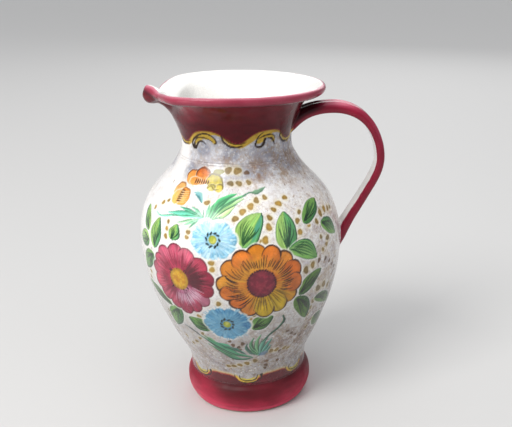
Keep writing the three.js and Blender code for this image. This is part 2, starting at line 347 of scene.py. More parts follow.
def leaf(P, base, tip, width, light, dark, seed, bend=0.0, veins=6, outline=None, flip=1.0, full=0.82, halo=2.0, band=None):
    """A pointed leaf from base to tip, loaded with a light and a dark green. flip puts the dark side left or right."""
    (u0, v0), (u1, v1) = base, tip
    um, vm = (u0 + u1) / 2, (v0 + v1) / 2
    k = k_at(vm)
    L = math.hypot((u1 - u0) * k, v1 - v0)
    ext = L * 0.62 + width
    i, du, dv = P.near(um, vm, ext / k, ext)
    if len(i) == 0:
        return
    tx, ty = (u1 - u0) * k / L, (v1 - v0) / L
    x, y = du * k, dv
    t = (x * tx + y * ty) / L + 0.5
    n = -x * ty + y * tx
    tc = np.clip(t, 0, 1)
    n = n - bend * L * (tc - tc * tc)
    w = 0.5 * width * np.clip(np.sin(math.pi * tc**full), 0, 1) ** 0.70
    w = w * (1 + 0.045 * np.sin(9 * tc + seed)) + 1e-3
    q = n / w
    body = (t > -0.01) & (t < 1.01)
    if halo:
        over = np.maximum(np.abs(n) - w, np.maximum(-t, t - 1) * L)
        P.lay(i, 0.75 * ss(halo + 1.0, halo - 1.0, over), rgb(243, 241, 235), 0.05)
    inside = ss(0.5, -0.45, np.abs(n) - w) * body
    along = noise2(q * 5.0 - 1.6 * tc, tc * 3.0, 1.0, 1.0, seed + 1)
    fine = noise2(q * 11.0 - 3.0 * tc, tc * 2.4, 1.0, 1.0, seed + 2)
    g = ss(-0.25, 0.75, flip * q + 0.55 * along)
    g = 0.72 * g
    c = light * (1 - g[:, None]) + dark * g[:, None]
    c = c * (1 + 0.15 * fine[:, None] + 0.06 * along[:, None])
    pale = ss(0.25, 0.85, fine) * ss(1.0, 0.3, tc) * 0.35
    c = c * (1 - pale[:, None]) + np.clip(light * 1.12 + 0.08, 0, 1) * pale[:, None]
    if band is not None:
        e = np.exp(-(((flip * q - 0.62 + 0.15 * along) / 0.20) ** 2)) * ss(0.12, 0.4, tc) * 0.8
        c = c * (1 - e[:, None]) + band * e[:, None]
    P.lay(i, 0.97 * inside, np.clip(c, 0, 1))
    rng = np.random.RandomState(seed)
    deep = dark * 0.50
    veins += 2
    for m in range(veins):  # strokes that fan out from the base
        side = -0.86 + 1.72 * (m + 0.5) / veins + rng.uniform(-0.04, 0.04)
        a0, a1 = rng.uniform(0.03, 0.10), rng.uniform(0.52, 0.86)
        r_ = np.clip((t - a0) / (a1 - a0), 0, 1)
        qq = side * (0.30 + 0.70 * smooth(r_))
        d = np.abs(q - qq) * w
        heavy = 0.74 if side * flip > -0.1 else 0.60
        wd = heavy * np.sin(math.pi * r_**0.8) ** 0.6
        hit = ss(wd + 0.35, wd - 0.25, d) * (t > a0) * (t < a1) * inside
        P.lay(i, (0.90 if side * flip > -0.1 else 0.78) * hit, np.clip(deep, 0, 1), 0.5)
    for m in range(max(2, veins // 2)):  # lighter strokes wiped out of the wet colour
        side = rng.uniform(-0.7, 0.7)
        a0, a1 = rng.uniform(0.1, 0.3), rng.uniform(0.6, 0.9)
        d = np.abs(q - side * (0.4 + 0.6 * tc)) * w
        hit = ss(0.75, 0.1, d) * ss(a0, a0 + 0.1, t) * ss(a1, a1 - 0.1, t) * inside
        P.lay(i, 0.42 * hit, np.clip(light * 1.22 + 0.06, 0, 1))
    if outline is not None:
        d = np.abs(np.abs(n) - w)
        wd = (0.36 + 0.62 * ss(0.1, 0.8, t)) * (0.8 + 0.3 * along)
        hit = ss(wd + 0.45, wd - 0.2, d) * (q * flip > 0) * body
        P.lay(i, 0.88 * hit, outline, 0.5)
        hit = ss(0.75, 0.1, d) * (q * flip <= 0) * ss(0.2, 0.5, t) * (t < 1.0)
        P.lay(i, 0.45 * hit, outline, 0.5)


def flower(P, u0, v0, ru, rv, petals, seed, inner, r_in=0.62, plump=1.0, outline=None, line=1.0, streak=0.10,
           soft=0.5, halo=2.2, hook=112.0, mottled=0.07, tip=0.0):
    """Round-ended petals laid one over the next, then a softer wash over the middle.
    petals: (angle, reach, colour) in painting order. inner: (angle, colour) round the middle."""
    i, du, dv = P.near(u0, v0, ru * 1.25, rv * 1.25)
    if len(i) == 0:
        return
    k = k_at(v0)
    x, y = du * k, dv
    ax, by = ru * k, rv
    ang = np.arctan2(y / by, x / ax)
    phi = np.degrees(ang)
    rho = np.hypot(x / ax, y / by)
    sc = (ax + by) / 2
    p3 = np.stack([x, y, 0 * x], 1)
    wob = 0.35 * noise(p3, 6.0, seed + 40)
    order = sorted(range(len(petals)), key=lambda j: petals[j][0] % 360)
    gap = {}
    for m, j in enumerate(order):
        nxt = (petals[order[(m + 1) % len(order)]][0] - petals[j][0]) % 360
        prv = (petals[j][0] - petals[order[m - 1]][0]) % 360
        gap[j] = math.radians((nxt + prv) / 2)
    streaks = noise2(phi, rho, 2.4, 0.5, seed + 1)
    bands = noise2(phi, rho, 7.0, 0.22, seed + 2)
    cloud = noise(p3, 7.5, seed + 5)
    if halo:
        near = np.full(len(i), 1e9)
        for j, (a, r, _) in enumerate(petals):
            rl = 0.5 * plump * gap[j] * r * sc
            ca, sa = math.cos(math.radians(a)), math.sin(math.radians(a))
            near = np.minimum(near, np.hypot(x - (r * ax - rl) * ca, y - (r * by - rl) * sa) - rl)
        near = np.minimum(near, (rho - 0.8) * sc)
        P.lay(i, 0.80 * ss(halo + 1.2, halo - 1.0, near + 2 * wob), rgb(243, 240, 235), 0.05)
    for j, (a, r, col) in enumerate(petals):
        rl = 0.5 * plump * gap[j] * r * sc
        ca, sa = math.cos(math.radians(a)), math.sin(math.radians(a))
        cx, cy = (r * ax - rl) * ca, (r * by - rl) * sa
        d = np.hypot(x - cx, y - cy) - rl + wob
        wedge = np.maximum(np.abs(np.radians(wrap_deg(phi - a))) * rho * sc - 0.5 * gap[j] * rho * sc * 1.02, (rho - (r - rl / sc)) * sc)
        fill = ss(soft, -soft, np.minimum(d, wedge))
        depth = np.clip(-d / rl, 0, 1)
        t = 1 + streak * (0.7 * streaks + 0.5 * bands) + mottled * cloud - 0.10 * ss(0.35, 0.0, depth) + tip * ss(0.25, 0.8, depth)
        P.lay(i, 0.97 * fill, np.clip(col * t[:, None], 0, 1), 0.35)
        if outline is not None:
            al = np.degrees(np.arctan2(-(x - cx) * sa + (y - cy) * ca, (x - cx) * ca + (y - cy) * sa))
            rng = np.random.RandomState(seed * 7 + j)
            h0, h1 = hook * rng.uniform(0.72, 1.0), hook * rng.uniform(0.80, 1.12)
            reach = np.clip(np.minimum((al + h0) / 34.0, (h1 - al) / 34.0), 0, 1)
            press = (0.72 + 0.50 * noise2(al, al * 0, 38.0, 1.0, seed + 60 + j)) * smooth(reach) ** 0.7
            wd = 0.62 * line * press
            P.lay(i, 0.92 * ss(wd + 0.42, wd - 0.32, np.abs(d)) * (reach > 0.02), outline, 0.55)
    # the middle, washed together
    ia = np.array([q[0] for q in inner], float)
    ic = np.array([q[1] for q in inner], float)
    o = np.argsort(ia % 360)
    ia, ic = (ia % 360)[o], ic[o]
    ia = np.concatenate([ia[-1:] - 360, ia, ia[:1] + 360])
    ic = np.concatenate([ic[-1:], ic, ic[:1]])
    pw = (phi + 7 * bands) % 360
    col = np.stack([np.interp(pw, ia, ic[:, q]) for q in range(3)], 1)
    g = ss(r_in + 0.16, r_in - 0.12, rho + 0.10 * streaks + 0.05 * bands)
    t = 1 + streak * (0.8 * streaks + 0.4 * bands) + mottled * cloud
    P.lay(i, 0.94 * g * (rho < 0.98), np.clip(col * t[:, None], 0, 1), 0.35)


def rays(P, u0, v0, ru, rv, spots, r_in, r_out, width, col, seed, bend=0.0, alpha=0.9, heavy=0.7, jitter=1.5):
    """Thin brush strokes round a flower's centre, in the flower's own scale. heavy > 1 leans on the outer end."""
    i, du, dv = P.near(u0, v0, ru, rv)
    if len(i) == 0:
        return
    x, y = du / ru, dv / rv
    sc = (ru * k_at(v0) + rv) / 2
    rng = np.random.RandomState(seed)
    for a in spots:
        a_ = math.radians(a + rng.uniform(-jitter, jitter))
        ri = r_in * rng.uniform(0.93, 1.10)
        ro = r_out * rng.uniform(0.88, 1.08)
        bow = bend * rng.uniform(0.7, 1.3)
        wj = rng.uniform(0.75, 1.2)
        ca, sa = math.cos(a_), math.sin(a_)
        al = x * ca + y * sa
        ac = -x * sa + y * ca
        j = np.nonzero((al > ri) & (al < ro) & (np.abs(ac) < 0.16))[0]
        if len(j) == 0:
            continue
        t = (al[j] - ri) / (ro - ri)
        d = np.abs(ac[j] - bow * 0.10 * t * t) * sc
        wd = 0.5 * width * np.sin(math.pi * np.clip(t, 0, 1) ** heavy) ** 0.55 * wj
        P.lay(i[j], alpha * ss(wd + 0.32, wd - 0.25, d), col, 0.5)


def disc(P, u0, v0, ru, rv, col, col2, seed, dashes=0, dash_r=1.06, dash=1.0, dash_col=None, rows=1):
    i, du, dv = P.near(u0, v0, ru * 1.6, rv * 1.6)
    if len(i) == 0:
        return
    x, y = du / ru, dv / rv
    rho = np.hypot(x, y)
    phi = np.degrees(np.arctan2(y, x))
    sc = (ru * k_at(v0) + rv) / 2
    edge = 1 + 0.03 * noise2(phi, phi * 0, 25.0, 1.0, seed)
    a = ss(0.4 / sc, -0.5 / sc, rho - edge)
    m = ss(-0.4, 0.6, noise2(x * sc, y * sc, 2.6, 2.6, seed + 1) + 0.5 * noise2(x * sc, y * sc, 1.1, 1.1, seed + 2))
    c = col * (1 - m[:, None]) + col2 * m[:, None]
    c = c * (1 - 0.22 * ss(0.55, 1.0, rho)[:, None])
    P.lay(i, 0.98 * a, np.clip(c, 0, 1), 0.55)
    rng = np.random.RandomState(seed)
    for row in range(rows):
        for s in range(dashes):
            a_ = 2 * math.pi * (s + 0.5 * row + rng.uniform(-0.12, 0.12)) / dashes
            r_ = dash_r + row * 0.16 + rng.uniform(-0.02, 0.02)
            blob(
                P, u0 + ru * r_ * math.cos(a_), v0 + rv * r_ * math.sin(a_),
                0.5 * dash * rng.uniform(0.8, 1.2), dash_col, seed + s, edge=0.7,
            )


# --------------------------------------------------------------------- colours
DARK = rgb(58, 30, 18)
BLACK = rgb(28, 24, 22)
MAROON = rgb(84, 14, 36)
ORANGE = rgb(222, 122, 26)
ORANGE_RED = rgb(214, 92, 30)
AMBER = rgb(224, 156, 40)
YELLOW = rgb(222, 180, 34)
GOLD = rgb(196, 164, 52)
OCHRE = rgb(170, 132, 52)
OLIVE = rgb(140, 112, 52)
BROWN = rgb(104, 74, 50)
LEAF_L, LEAF_D = rgb(146, 188, 94), rgb(44, 128, 78)
LEAF_ML, LEAF_MD = rgb(104, 154, 68), rgb(34, 102, 50)
LEAF_DL, LEAF_DD = rgb(84, 126, 42), rgb(30, 74, 30)
TEAL, TEAL_L = rgb(58, 150, 112), rgb(140, 208, 172)
TEAL_D = rgb(38, 98, 72)
CRIMSON = rgb(150, 26, 52)


def ground(P):
    """Off-white tin glaze, sponged in lilac grey and tan, with painted shade on the neck and low on the belly and a
    painted sheen on the shoulder towards the handle.
    """
    p, u, v = P.p, P.u, P.v
    n = len(u)
    base = np.tile(rgb(241, 239, 238), (n, 1))
    warm = rgb(196, 172, 142)
    lilac = rgb(180, 172, 188)
    taupe = rgb(150, 130, 116)
    big = fbm(p, 70.0, 3, 2)
    du = (u + CIRC / 2) % CIRC - CIRC / 2
    side = ss(-30, 120, du) * ss(330, 200, du)  # denser towards the handle
    # fewer marks on the upper shoulder towards the handle, part of the painted sheen there
    side = side * (1 - 0.62 * ss(200, 228, v) * ss(268, 250, v))
    low = ss(150, 50, v)
    # painted shade: the grey-blue over the neck is partly the glaze's own grey-blue and partly shade under the flaring
    # mouth, strengthened on the left where the key light falls
    neck = ss(256, 276, v)
    calm = ss(10, -95, du) * ss(-250, -190, du) * ss(60, 120, v)
    neck = neck * (1 - ss(-92, -118, du) * ss(-190, -140, du)) * (1 + 0.35 * ss(-40, -80, du) * ss(-190, -140, du))
    dense = np.clip(0.28 + 0.40 * side + 0.34 * low + 0.20 * big + 0.34 * neck - 0.24 * calm, 0.05, 1.15)
    a = fbm(p, 9.0, 11, 3)
    b = fbm(p, 6.5, 23, 3)
    c_ = fbm(p, 4.4, 37, 2)
    d_ = fbm(p, 13.0, 61, 2)
    net = np.clip(1 - np.abs(fbm(p, 7.5, 51, 2)) * 3.4, 0, 1) ** 1.4
    net2 = np.clip(1 - np.abs(fbm(p, 4.2, 57, 2)) * 3.0, 0, 1) ** 1.6
    cream = ss(0.05, 0.5, fbm(p, 26.0, 71, 2))
    # brown clouds on the shoulder, as a sponge leaves them
    cloud = np.zeros(n)
    for cu, cv, ru, rv, s_ in ((34, 273, 22, 13, 1.25), (84, 276, 15, 17, 1.15), (-10, 286, 30, 6, 0.5), (-70, 284, 30, 7, 0.35), (130, 276, 26, 14, 0.9),
                               (70, 60, 60, 34, 0.75), (110, 120, 34, 60, 0.35), (-60, 50, 50, 24, 0.25), (210, 270, 40, 14, 0.7), (300, 276, 30, 12, 0.8)):
        x = ((u - cu + CIRC / 2) % CIRC - CIRC / 2) / ru
        y = (v - cv) / rv
        cloud = np.maximum(cloud, s_ * np.exp(-(x * x + y * y) * 0.9))
    cloud *= ss(-0.35, 0.45, a + 0.7 * b)
    painted_sheen = np.exp(-(((v - 250) / 10.0) ** 2)) * ss(12, 44, du) * ss(170, 120, du)  # painted sheen: a pale patch on the shoulder where a reflection falls
    c = base
    for amt, col in (
        (0.60 * dense * ss(0.00, 0.34, a), lilac),
        (0.50 * dense * ss(0.05, 0.36, b), warm),
        (0.36 * dense * net * ss(-0.3, 0.3, c_), taupe),
        (0.26 * dense * net2 * ss(-0.1, 0.4, d_), rgb(140, 116, 94)),
        # the grey-blue neck, partly painted shade under the mouth
        (neck * (0.40 + 0.38 * ss(-0.3, 0.4, d_)), rgb(138, 143, 160)),
        (0.74 * np.clip(cloud, 0, 1.2), rgb(138, 102, 74)),
        (0.24 * cream * (1 - low), rgb(244, 238, 222)),
    ):
        c = c * (1 - amt[:, None]) + col * amt[:, None]
    grit = fbm(p, 2.6, 97, 2)
    for amt, col in (
        (0.50 * dense * ss(0.18, 0.42, grit), rgb(168, 146, 122)),
        (0.40 * ss(0.20, 0.45, -grit), rgb(242, 240, 238)),
        (0.55 * np.clip(dense - 0.25, 0, 1) * ss(0.26, 0.46, fbm(p, 1.9, 103, 2)), rgb(132, 104, 78)),
    ):
        c = c * (1 - amt[:, None]) + col * amt[:, None]
    speck = ss(0.36, 0.60, c_) * ss(-0.15, 0.35, a) * dense
    c = c * (1 - 0.55 * speck[:, None]) + rgb(138, 110, 84) * 0.55 * speck[:, None]
    # painted sheen: the shoulder paled and cooled where a reflection falls
    c = c * (1 - 0.42 * painted_sheen[:, None]) + rgb(238, 240, 244) * 0.42 * painted_sheen[:, None]
    # painted shade: the ground darkened towards the bottom of the belly
    c = c * (1 - 0.18 * low - 0.08 * ss(70, 20, v))[:, None]
    P.c[:] = c
    P.bare[:] = (1 - 0.80 * calm) * (1 - 0.45 * painted_sheen)
    P.relief[:] = 0.0


def bouquet(P):
    """The painted front of the jug."""
    # ---- small brown marks sponged between the flowers, densest low on the right
    rng = np.random.RandomState(5)
    for s in range(900):
        u, v = rng.uniform(-150, 165), rng.uniform(22, 262)
        w = 0.08 + 0.90 * ss(20, 80, u) * ss(150, 60, v) + 0.45 * ss(50, 110, u) + 0.22 * ss(75, 40, v)
        if rng.uniform() > w:
            continue
        a, L = rng.uniform(0, math.pi), rng.uniform(1.6, 4.2)
        c = BROWN * rng.uniform(0.85, 1.35)
        bx, by = L * math.cos(a), L * math.sin(a)
        cx, cy = rng.uniform(-1.1, 1.1), rng.uniform(-1.1, 1.1)
        stroke(P, [(u - bx / 2, v - by / 2), (u + cx, v + cy), (u + bx / 2, v + by / 2)], 0.6, 1.2, c, s, 0.5, alpha=0.34 + 0.4 * rng.uniform())
    # ---- gold and olive dots
    halo = rgb(238, 224, 178)
    dots = [
        (-18.2, 278, 3.7, 1), (-2, 277.6, 3.9, 1), (14, 275.5, 2.6, 2),
        (-13.8, 264.3, 3.1, 1), (-0.5, 264.3, 3.1, 1), (15, 265, 2.7, 1),
        (33.7, 247, 2.7, 0), (21.3, 244.6, 3.2, 0), (12.5, 238.3, 3.6, 0), (2, 233, 3.4, 0), (-7, 225.8, 3.3, 0),
        (62.5, 243.4, 2.8, 0), (50, 238.2, 3.4, 0), (40.8, 232.5, 2.8, 0), (33.2, 224.6, 3.0, 0),
        (30.4, 215.2, 3.5, 0), (24.5, 202.6, 3.9, 0), (17.6, 201.6, 2.6, 0),
        (67.5, 216.4, 3.0, 0), (74.4, 224.6, 2.6, 1), (67, 204.6, 3.4, 0), (60.5, 197.6, 3.0, 0), (58, 189, 2.0, 1),
        (82, 209.4, 2.7, 0), (96.4, 209.4, 2.9, 1), (108, 215.8, 3.6, 0), (119.6, 217.5, 3.3, 0),
        (129.6, 215.8, 3.0, 1), (137, 214.8, 2.6, 1), (111, 187.6, 3.4, 1), (107.5, 181.4, 2.6, 1), (100, 177.4, 2.4, 1),
        (98, 192, 2.4, 1), (71.2, 162, 4.0, 1), (81.3, 165.4, 3.6, 1), (92, 167.6, 2.7, 2), (104.6, 165.8, 2.6, 2),
        (113.8, 160, 2.5, 2), (121.4, 153.6, 2.4, 2), (129, 148, 2.2, 2), (93.8, 133, 4.2, 1), (105.6, 133.8, 4.0, 1),
        (117, 129, 3.2, 1), (127, 124, 2.6, 2), (-30.2, 133, 3.0, 0), (-33.6, 173, 3.2, 0), (-33.8, 180.4, 3.2, 0),
        (-61, 208.8, 2.6, 0), (-62.4, 203.6, 2.3, 0), (-91, 207.6, 2.4, 0), (-91.8, 199.6, 2.6, 0), (-91, 215, 2.0, 0),
        (-124, 223.5, 2.2, 0), (-112, 232, 2.4, 0), (-104, 236, 2.0, 0), (-44, 241.6, 3.0, 0), (-47, 214, 1.8, 0),
        (-58, 112, 2.6, 0), (-55, 105, 2.0, 0), (-59, 122, 2.2, 0), (-21.3, 70, 2.6, 2), (-7.6, 72.6, 2.7, 2), (-13.8, 66.4, 2.3, 2),
        (-25, 76.4, 2.1, 2), (-12, 62.2, 2.0, 2), (-37.6, 27.6, 2.7, 1), (-27.6, 28.8, 2.8, 1), (-16.4, 31.3, 3.1, 1),
        (-3.8, 34.6, 3.3, 1), (10, 39, 3.2, 1), (35, 54.6, 3.1, 1), (43.8, 54.6, 3.1, 1), (57.6, 53.8, 2.9, 1),
        (50, 51.4, 2.2, 2), (65, 51.4, 2.4, 1), (29.8, 35.4, 2.6, 2), (30.2, 27.6, 2.6, 2), (28.8, 22.4, 2.0, 2), (51, 32.2, 2.6, 2),
        (74, 60, 2.4, 2), (82, 68, 2.2, 2), (90, 78, 2.6, 1), (97, 88, 2.4, 1), (55, 84, 2.2, 2), (63, 78, 2.2, 2),
        (71, 73, 2.0, 2), (-100, 116, 2.4, 0), (-112, 104, 2.2, 1), (-118, 94, 2.0, 1), (-62, 84, 2.2, 1), (-70, 74, 2.2, 1),
        (-80, 66, 2.4, 1), (-90, 60, 2.2, 1), (-98, 70, 2.0, 1), (-128, 150, 2.4, 0), (-132, 142, 2.2, 0), (89, 118, 3.0, 1),
        (86, 109, 2.6, 1), (84, 100, 2.2, 1), (9.5, 118, 2.6, 0), (5, 112, 2.0, 0),
    ]
    tones = (OCHRE, OLIVE, BROWN)
    for s, (u, v, r, t) in enumerate(dots):
        blob(P, u, v, r, tones[t] * (0.95 + 0.1 * math.sin(s * 1.7)), 0.7 * s, halo=halo if t < 2 else None)
    # ---- leaves: base, tip, width, light, dark, bend, strokes, dark side, band
    sea = rgb(66, 150, 140)
    leaves = [
        ((-0.8, 197.0), (24.0, 230.6), 25.5, LEAF_L, rgb(72, 160, 84), 0.34, 7, -1, sea),
        ((48.6, 188.6), (52.4, 229.0), 25.0, LEAF_L, LEAF_D, 0.05, 7, -1, None),
        ((75.0, 212.6), (111.8, 233.0), 16.5, LEAF_ML, LEAF_MD, 0.10, 6, -1, None),
        ((103.0, 206.6), (133.0, 186.6), 17, LEAF_ML, LEAF_MD, 0.34, 5, 1, None),
        ((-112.0, 182.4), (-107.0, 216.0), 19, LEAF_L, LEAF_D, 0.06, 5, -1, None),
        ((-84.4, 198.0), (-76.6, 214.6), 14.5, LEAF_L, LEAF_D, -0.30, 5, -1, None),
        ((-126.0, 197.4), (-141.4, 223.0), 15, LEAF_L, LEAF_MD, 0.1, 5, 1, None),
        ((-122.4, 188.0), (-151.0, 184.6), 18, LEAF_L, LEAF_MD, -0.1, 5, 1, None),
        ((-113.8, 174.8), (-140.0, 152.8), 19, LEAF_ML, LEAF_MD, -0.25, 6, 1, None),
        ((-84.6, 117.6), (-108.0, 85.0), 21, LEAF_ML, LEAF_MD, -0.22, 6, 1, None),
        ((-45.0, 94.0), (-73.6, 107.4), 18.5, LEAF_ML, LEAF_MD, 0.16, 7, 1, None),
        ((6.0, 97.0), (31.0, 113.6), 18.5, LEAF_ML, LEAF_DD, 0.20, 6, -1, None),
        ((62.6, 134.6), (96.0, 157.0), 17, LEAF_DL, LEAF_DD, 0.20, 6, -1, None),
        ((58.4, 132.0), (81.0, 97.0), 19.5, LEAF_DL, LEAF_DD, 0.26, 7, 1, None),
        ((90.0, 121.4), (135.0, 100.6), 14.5, LEAF_DL, LEAF_DD, 0.28, 5, 1, None),
        ((101.0, 92.0), (124.0, 70.4), 19, LEAF_DL, LEAF_DD, 0.2, 4, 1, None),
        ((-97.0, 117.6), (-140.0, 136.4), 12, LEAF_ML, LEAF_DD, -0.1, 4, 1, None),
    ]
    for s, (b, t, w, li, da, bend, veins, flip, band) in enumerate(leaves):
        leaf(P, b, t, w, li, da, 100 + s, bend, veins, outline=rgb(24, 66, 40), flip=flip, band=band)
    # the curled leaf by the orange flower, with long arching strokes
    leaf(P, (50.2, 189.6), (88.6, 172.6), 20.5, rgb(120, 178, 84), rgb(52, 124, 60), 140, 0.50, 6, outline=rgb(24, 66, 40), flip=1, full=0.92)
    for s, (lift, w) in enumerate(((8.0, 0.9), (5.0, 1.3), (2.2, 1.0), (-0.6, 1.5), (-3.2, 1.1))):
        pts = [(52.5, 189.0 - 0.1 * lift), (63 + 0.25 * lift, 187.6 + 0.85 * lift), (76 + 0.35 * lift, 181.6 + 0.9 * lift), (86.4, 173.4 + 0.35 * lift)]
        stroke(P, pts, 0.4, w, rgb(26, 84, 46), 151 + s, 0.4, alpha=0.8, streak=0.0)
        stroke(P, [(a_ + 0.9, b_ + 1.2) for a_, b_ in pts], 0.4, 1.0, rgb(176, 214, 132), 161 + s, 0.4, alpha=0.55, streak=0.0)
    # ---- sprays of thin green strokes
    top = [
        ([(-47, 224.3), (-60.4, 221), (-78.7, 216.2)], 1.6, 3.0, 0.4, rgb(132, 190, 140)),
        ([(-48.9, 223.4), (-58.5, 219), (-68, 215.2)], 1.6, 2.6, 0.5, rgb(116, 184, 140)),
        ([(-50.8, 221.5), (-56, 217.6), (-60.4, 213.6)], 1.4, 2.2, 0.6, rgb(70, 130, 96)),
        ([(-45, 225.3), (-66.2, 224.6), (-83.5, 223.6), (-96, 220.4), (-110.4, 218.4), (-117.4, 220.4)], 1.8, 2.8, 0.9, rgb(96, 172, 142)),
        ([(-45, 225.3), (-66, 227.7), (-79.6, 226.7), (-96, 224.2)], 1.8, 5.6, 0.7, rgb(84, 178, 146)),
        ([(-46, 225.8), (-57.5, 228.9), (-68, 231.5), (-79.6, 232.9)], 1.6, 4.2, 0.7, rgb(70, 152, 116)),
        ([(-46, 226.3), (-52.7, 231.3), (-63.6, 235.2)], 1.4, 3.4, 0.6, rgb(98, 170, 132)),
        ([(-45, 225.8), (-45.4, 230), (-46.2, 234.8)], 1.2, 1.8, 0.4, TEAL_D),
        ([(-42.1, 225.8), (-41, 233), (-39.4, 240.6)], 1.4, 3.0, 0.5, rgb(74, 150, 108)),
        ([(-39.5, 225.4), (-37.4, 234), (-34.0, 241.6)], 1.6, 4.0, 0.6, rgb(66, 158, 96)),
        ([(-30.6, 224.8), (-19, 230.6), (-7.8, 238.6)], 1.6, 5.8, 0.8, rgb(168, 206, 128)),
        ([(-32.5, 224.8), (-21.9, 235.4), (-8.5, 242.1), (4.6, 247.2)], 1.8, 6.0, 0.9, rgb(142, 196, 120)),
        ([(-34.4, 224.8), (-25.8, 236.3), (-9.4, 246), (8.8, 251.5)], 2.0, 5.6, 0.8, rgb(88, 164, 104)),
        ([(-36.8, 224.8), (-30.4, 238.6), (-17.2, 248.6), (-4.2, 253.0)], 2.2, 8.2, 0.8, rgb(46, 146, 84)),
        ([(-33.5, 223.8), (-27.7, 226.3), (-22.9, 227.9)], 0.9, 1.6, 0.5, TEAL_D),
        ([(12.7, 253.9), (24.2, 253.9), (38.9, 258.4)], 1.2, 5.0, 0.9, rgb(70, 112, 80)),
        ([(4, 250.6), (9, 252.4), (14.6, 253.8)], 0.9, 1.4, 0.7, TEAL_D),
    ]
    for s, (pts, w0, w1, w2, col) in enumerate(top):
        stroke(P, pts, w0, w1, col, 200 + s, w2, light=np.clip(col * 1.28 + 0.08, 0, 1), edge=rgb(32, 92, 66), streak=0.2)
    for s, pts in enumerate((
        [(-46, 225.6), (-66, 225.6), (-88, 222)], [(-46, 226), (-58, 228), (-74, 231.2)], [(-36, 226), (-28, 240), (-12, 250)],
        [(-33, 226), (-22, 238.6), (0, 248.8)], [(-31, 226), (-20, 234), (-4, 241)], [(-38.6, 226), (-36.4, 233), (-34.6, 239)],
    )):
        stroke(P, pts, 0.4, 0.95, rgb(30, 92, 62), 220 + s, 0.4, alpha=0.8, streak=0.0)
    low = [
        ([(-87, 91.2), (-77.7, 87.4), (-66.0, 79.2)], 1.2, 2.6, 1.6, rgb(52, 66, 62)),
        ([(-60, 81), (-50, 75), (-41.4, 67.3)], 1.4, 5.4, 0.7, rgb(70, 122, 80)),
        ([(-58.4, 67.1), (-41.4, 58.6), (-24.3, 49.6), (-12, 44)], 1.4, 6.6, 0.8, rgb(62, 124, 84)),
        ([(-66, 79.4), (-44.8, 67.3), (-24.3, 56.2), (4.6, 47.2)], 2.0, 9.6, 1.2, rgb(44, 108, 76)),
        ([(-43.6, 72.4), (-31.1, 67.6), (-19.6, 60.4)], 1.6, 7.6, 0.8, rgb(48, 126, 94)),
        ([(-30, 68), (-16, 61), (-4, 53)], 1.2, 5.2, 0.8, rgb(40, 84, 70)),
        ([(-41.4, 53.8), (-24.3, 45.2), (-4, 43.6), (6, 46.0)], 1.0, 5.2, 1.0, rgb(42, 92, 68)),
        ([(15.5, 50.2), (1.6, 57.6), (-2.9, 66.1), (-1.2, 72.6)], 2.6, 5.4, 0.8, rgb(42, 74, 62)),
        ([(15.5, 50.2), (6.4, 60.5), (3.9, 71.8), (7.7, 81.6)], 2.6, 5.2, 0.8, rgb(62, 112, 76)),
        ([(15.5, 50.2), (11.6, 62.7), (12.8, 76.4), (17.4, 86.4)], 2.6, 5.2, 0.8, rgb(92, 144, 98)),
        ([(15.8, 50.2), (17.7, 62.7), (23.4, 76.4), (28.4, 84.0)], 2.6, 5.6, 0.8, rgb(74, 132, 112)),
        ([(16, 50.2), (23.4, 60.5), (28, 69.5), (33, 77.2)], 2.6, 5.6, 0.8, rgb(66, 130, 116)),
        ([(19, 50.6), (28, 58.2), (33, 66)], 2.2, 4.8, 0.8, rgb(80, 134, 122)),
        ([(18.9, 74), (30.2, 86.0), (41.2, 95.4), (46.3, 104.4), (44.4, 111)], 1.2, 2.8, 2.2, rgb(34, 76, 54)),
        ([(42.0, 96.4), (46.6, 103.4), (44.6, 110.6)], 1.2, 3.4, 1.6, rgb(32, 70, 50)),
    ]
    for s, (pts, w0, w1, w2, col) in enumerate(low):
        stroke(P, pts, w0, w1, col, 240 + s, w2, light=np.clip(col * 1.35 + 0.05, 0, 1), edge=col * 0.5, streak=0.2)
    for s, pts in enumerate((
        [(-60, 75), (-42, 64.4), (-20, 53)], [(-50, 64.6), (-34, 56), (-14, 48)], [(-36, 68.4), (-26, 64), (-18, 58)],
        [(14.6, 52), (5, 61), (0.6, 70)], [(15, 52), (9, 64), (9.6, 77)], [(15.6, 52), (14.6, 64), (20, 79)], [(17, 52), (21, 62), (27.6, 73)],
        [(18, 52), (25, 59), (31, 67)],
    )):
        stroke(P, pts, 0.4, 1.0, rgb(26, 58, 46), 262 + s, 0.4, alpha=0.75, streak=0.0)
        stroke(P, [(a_ + 1.5, b_ + 0.6) for a_, b_ in pts], 0.3, 0.9, rgb(168, 206, 176), 272 + s, 0.3, alpha=0.5, streak=0.0)
    blob(P, 21, 51.6, 3.8, rgb(104, 128, 152), 1.3)
    blob(P, 26, 54.6, 2.8, rgb(112, 142, 160), 2.3)
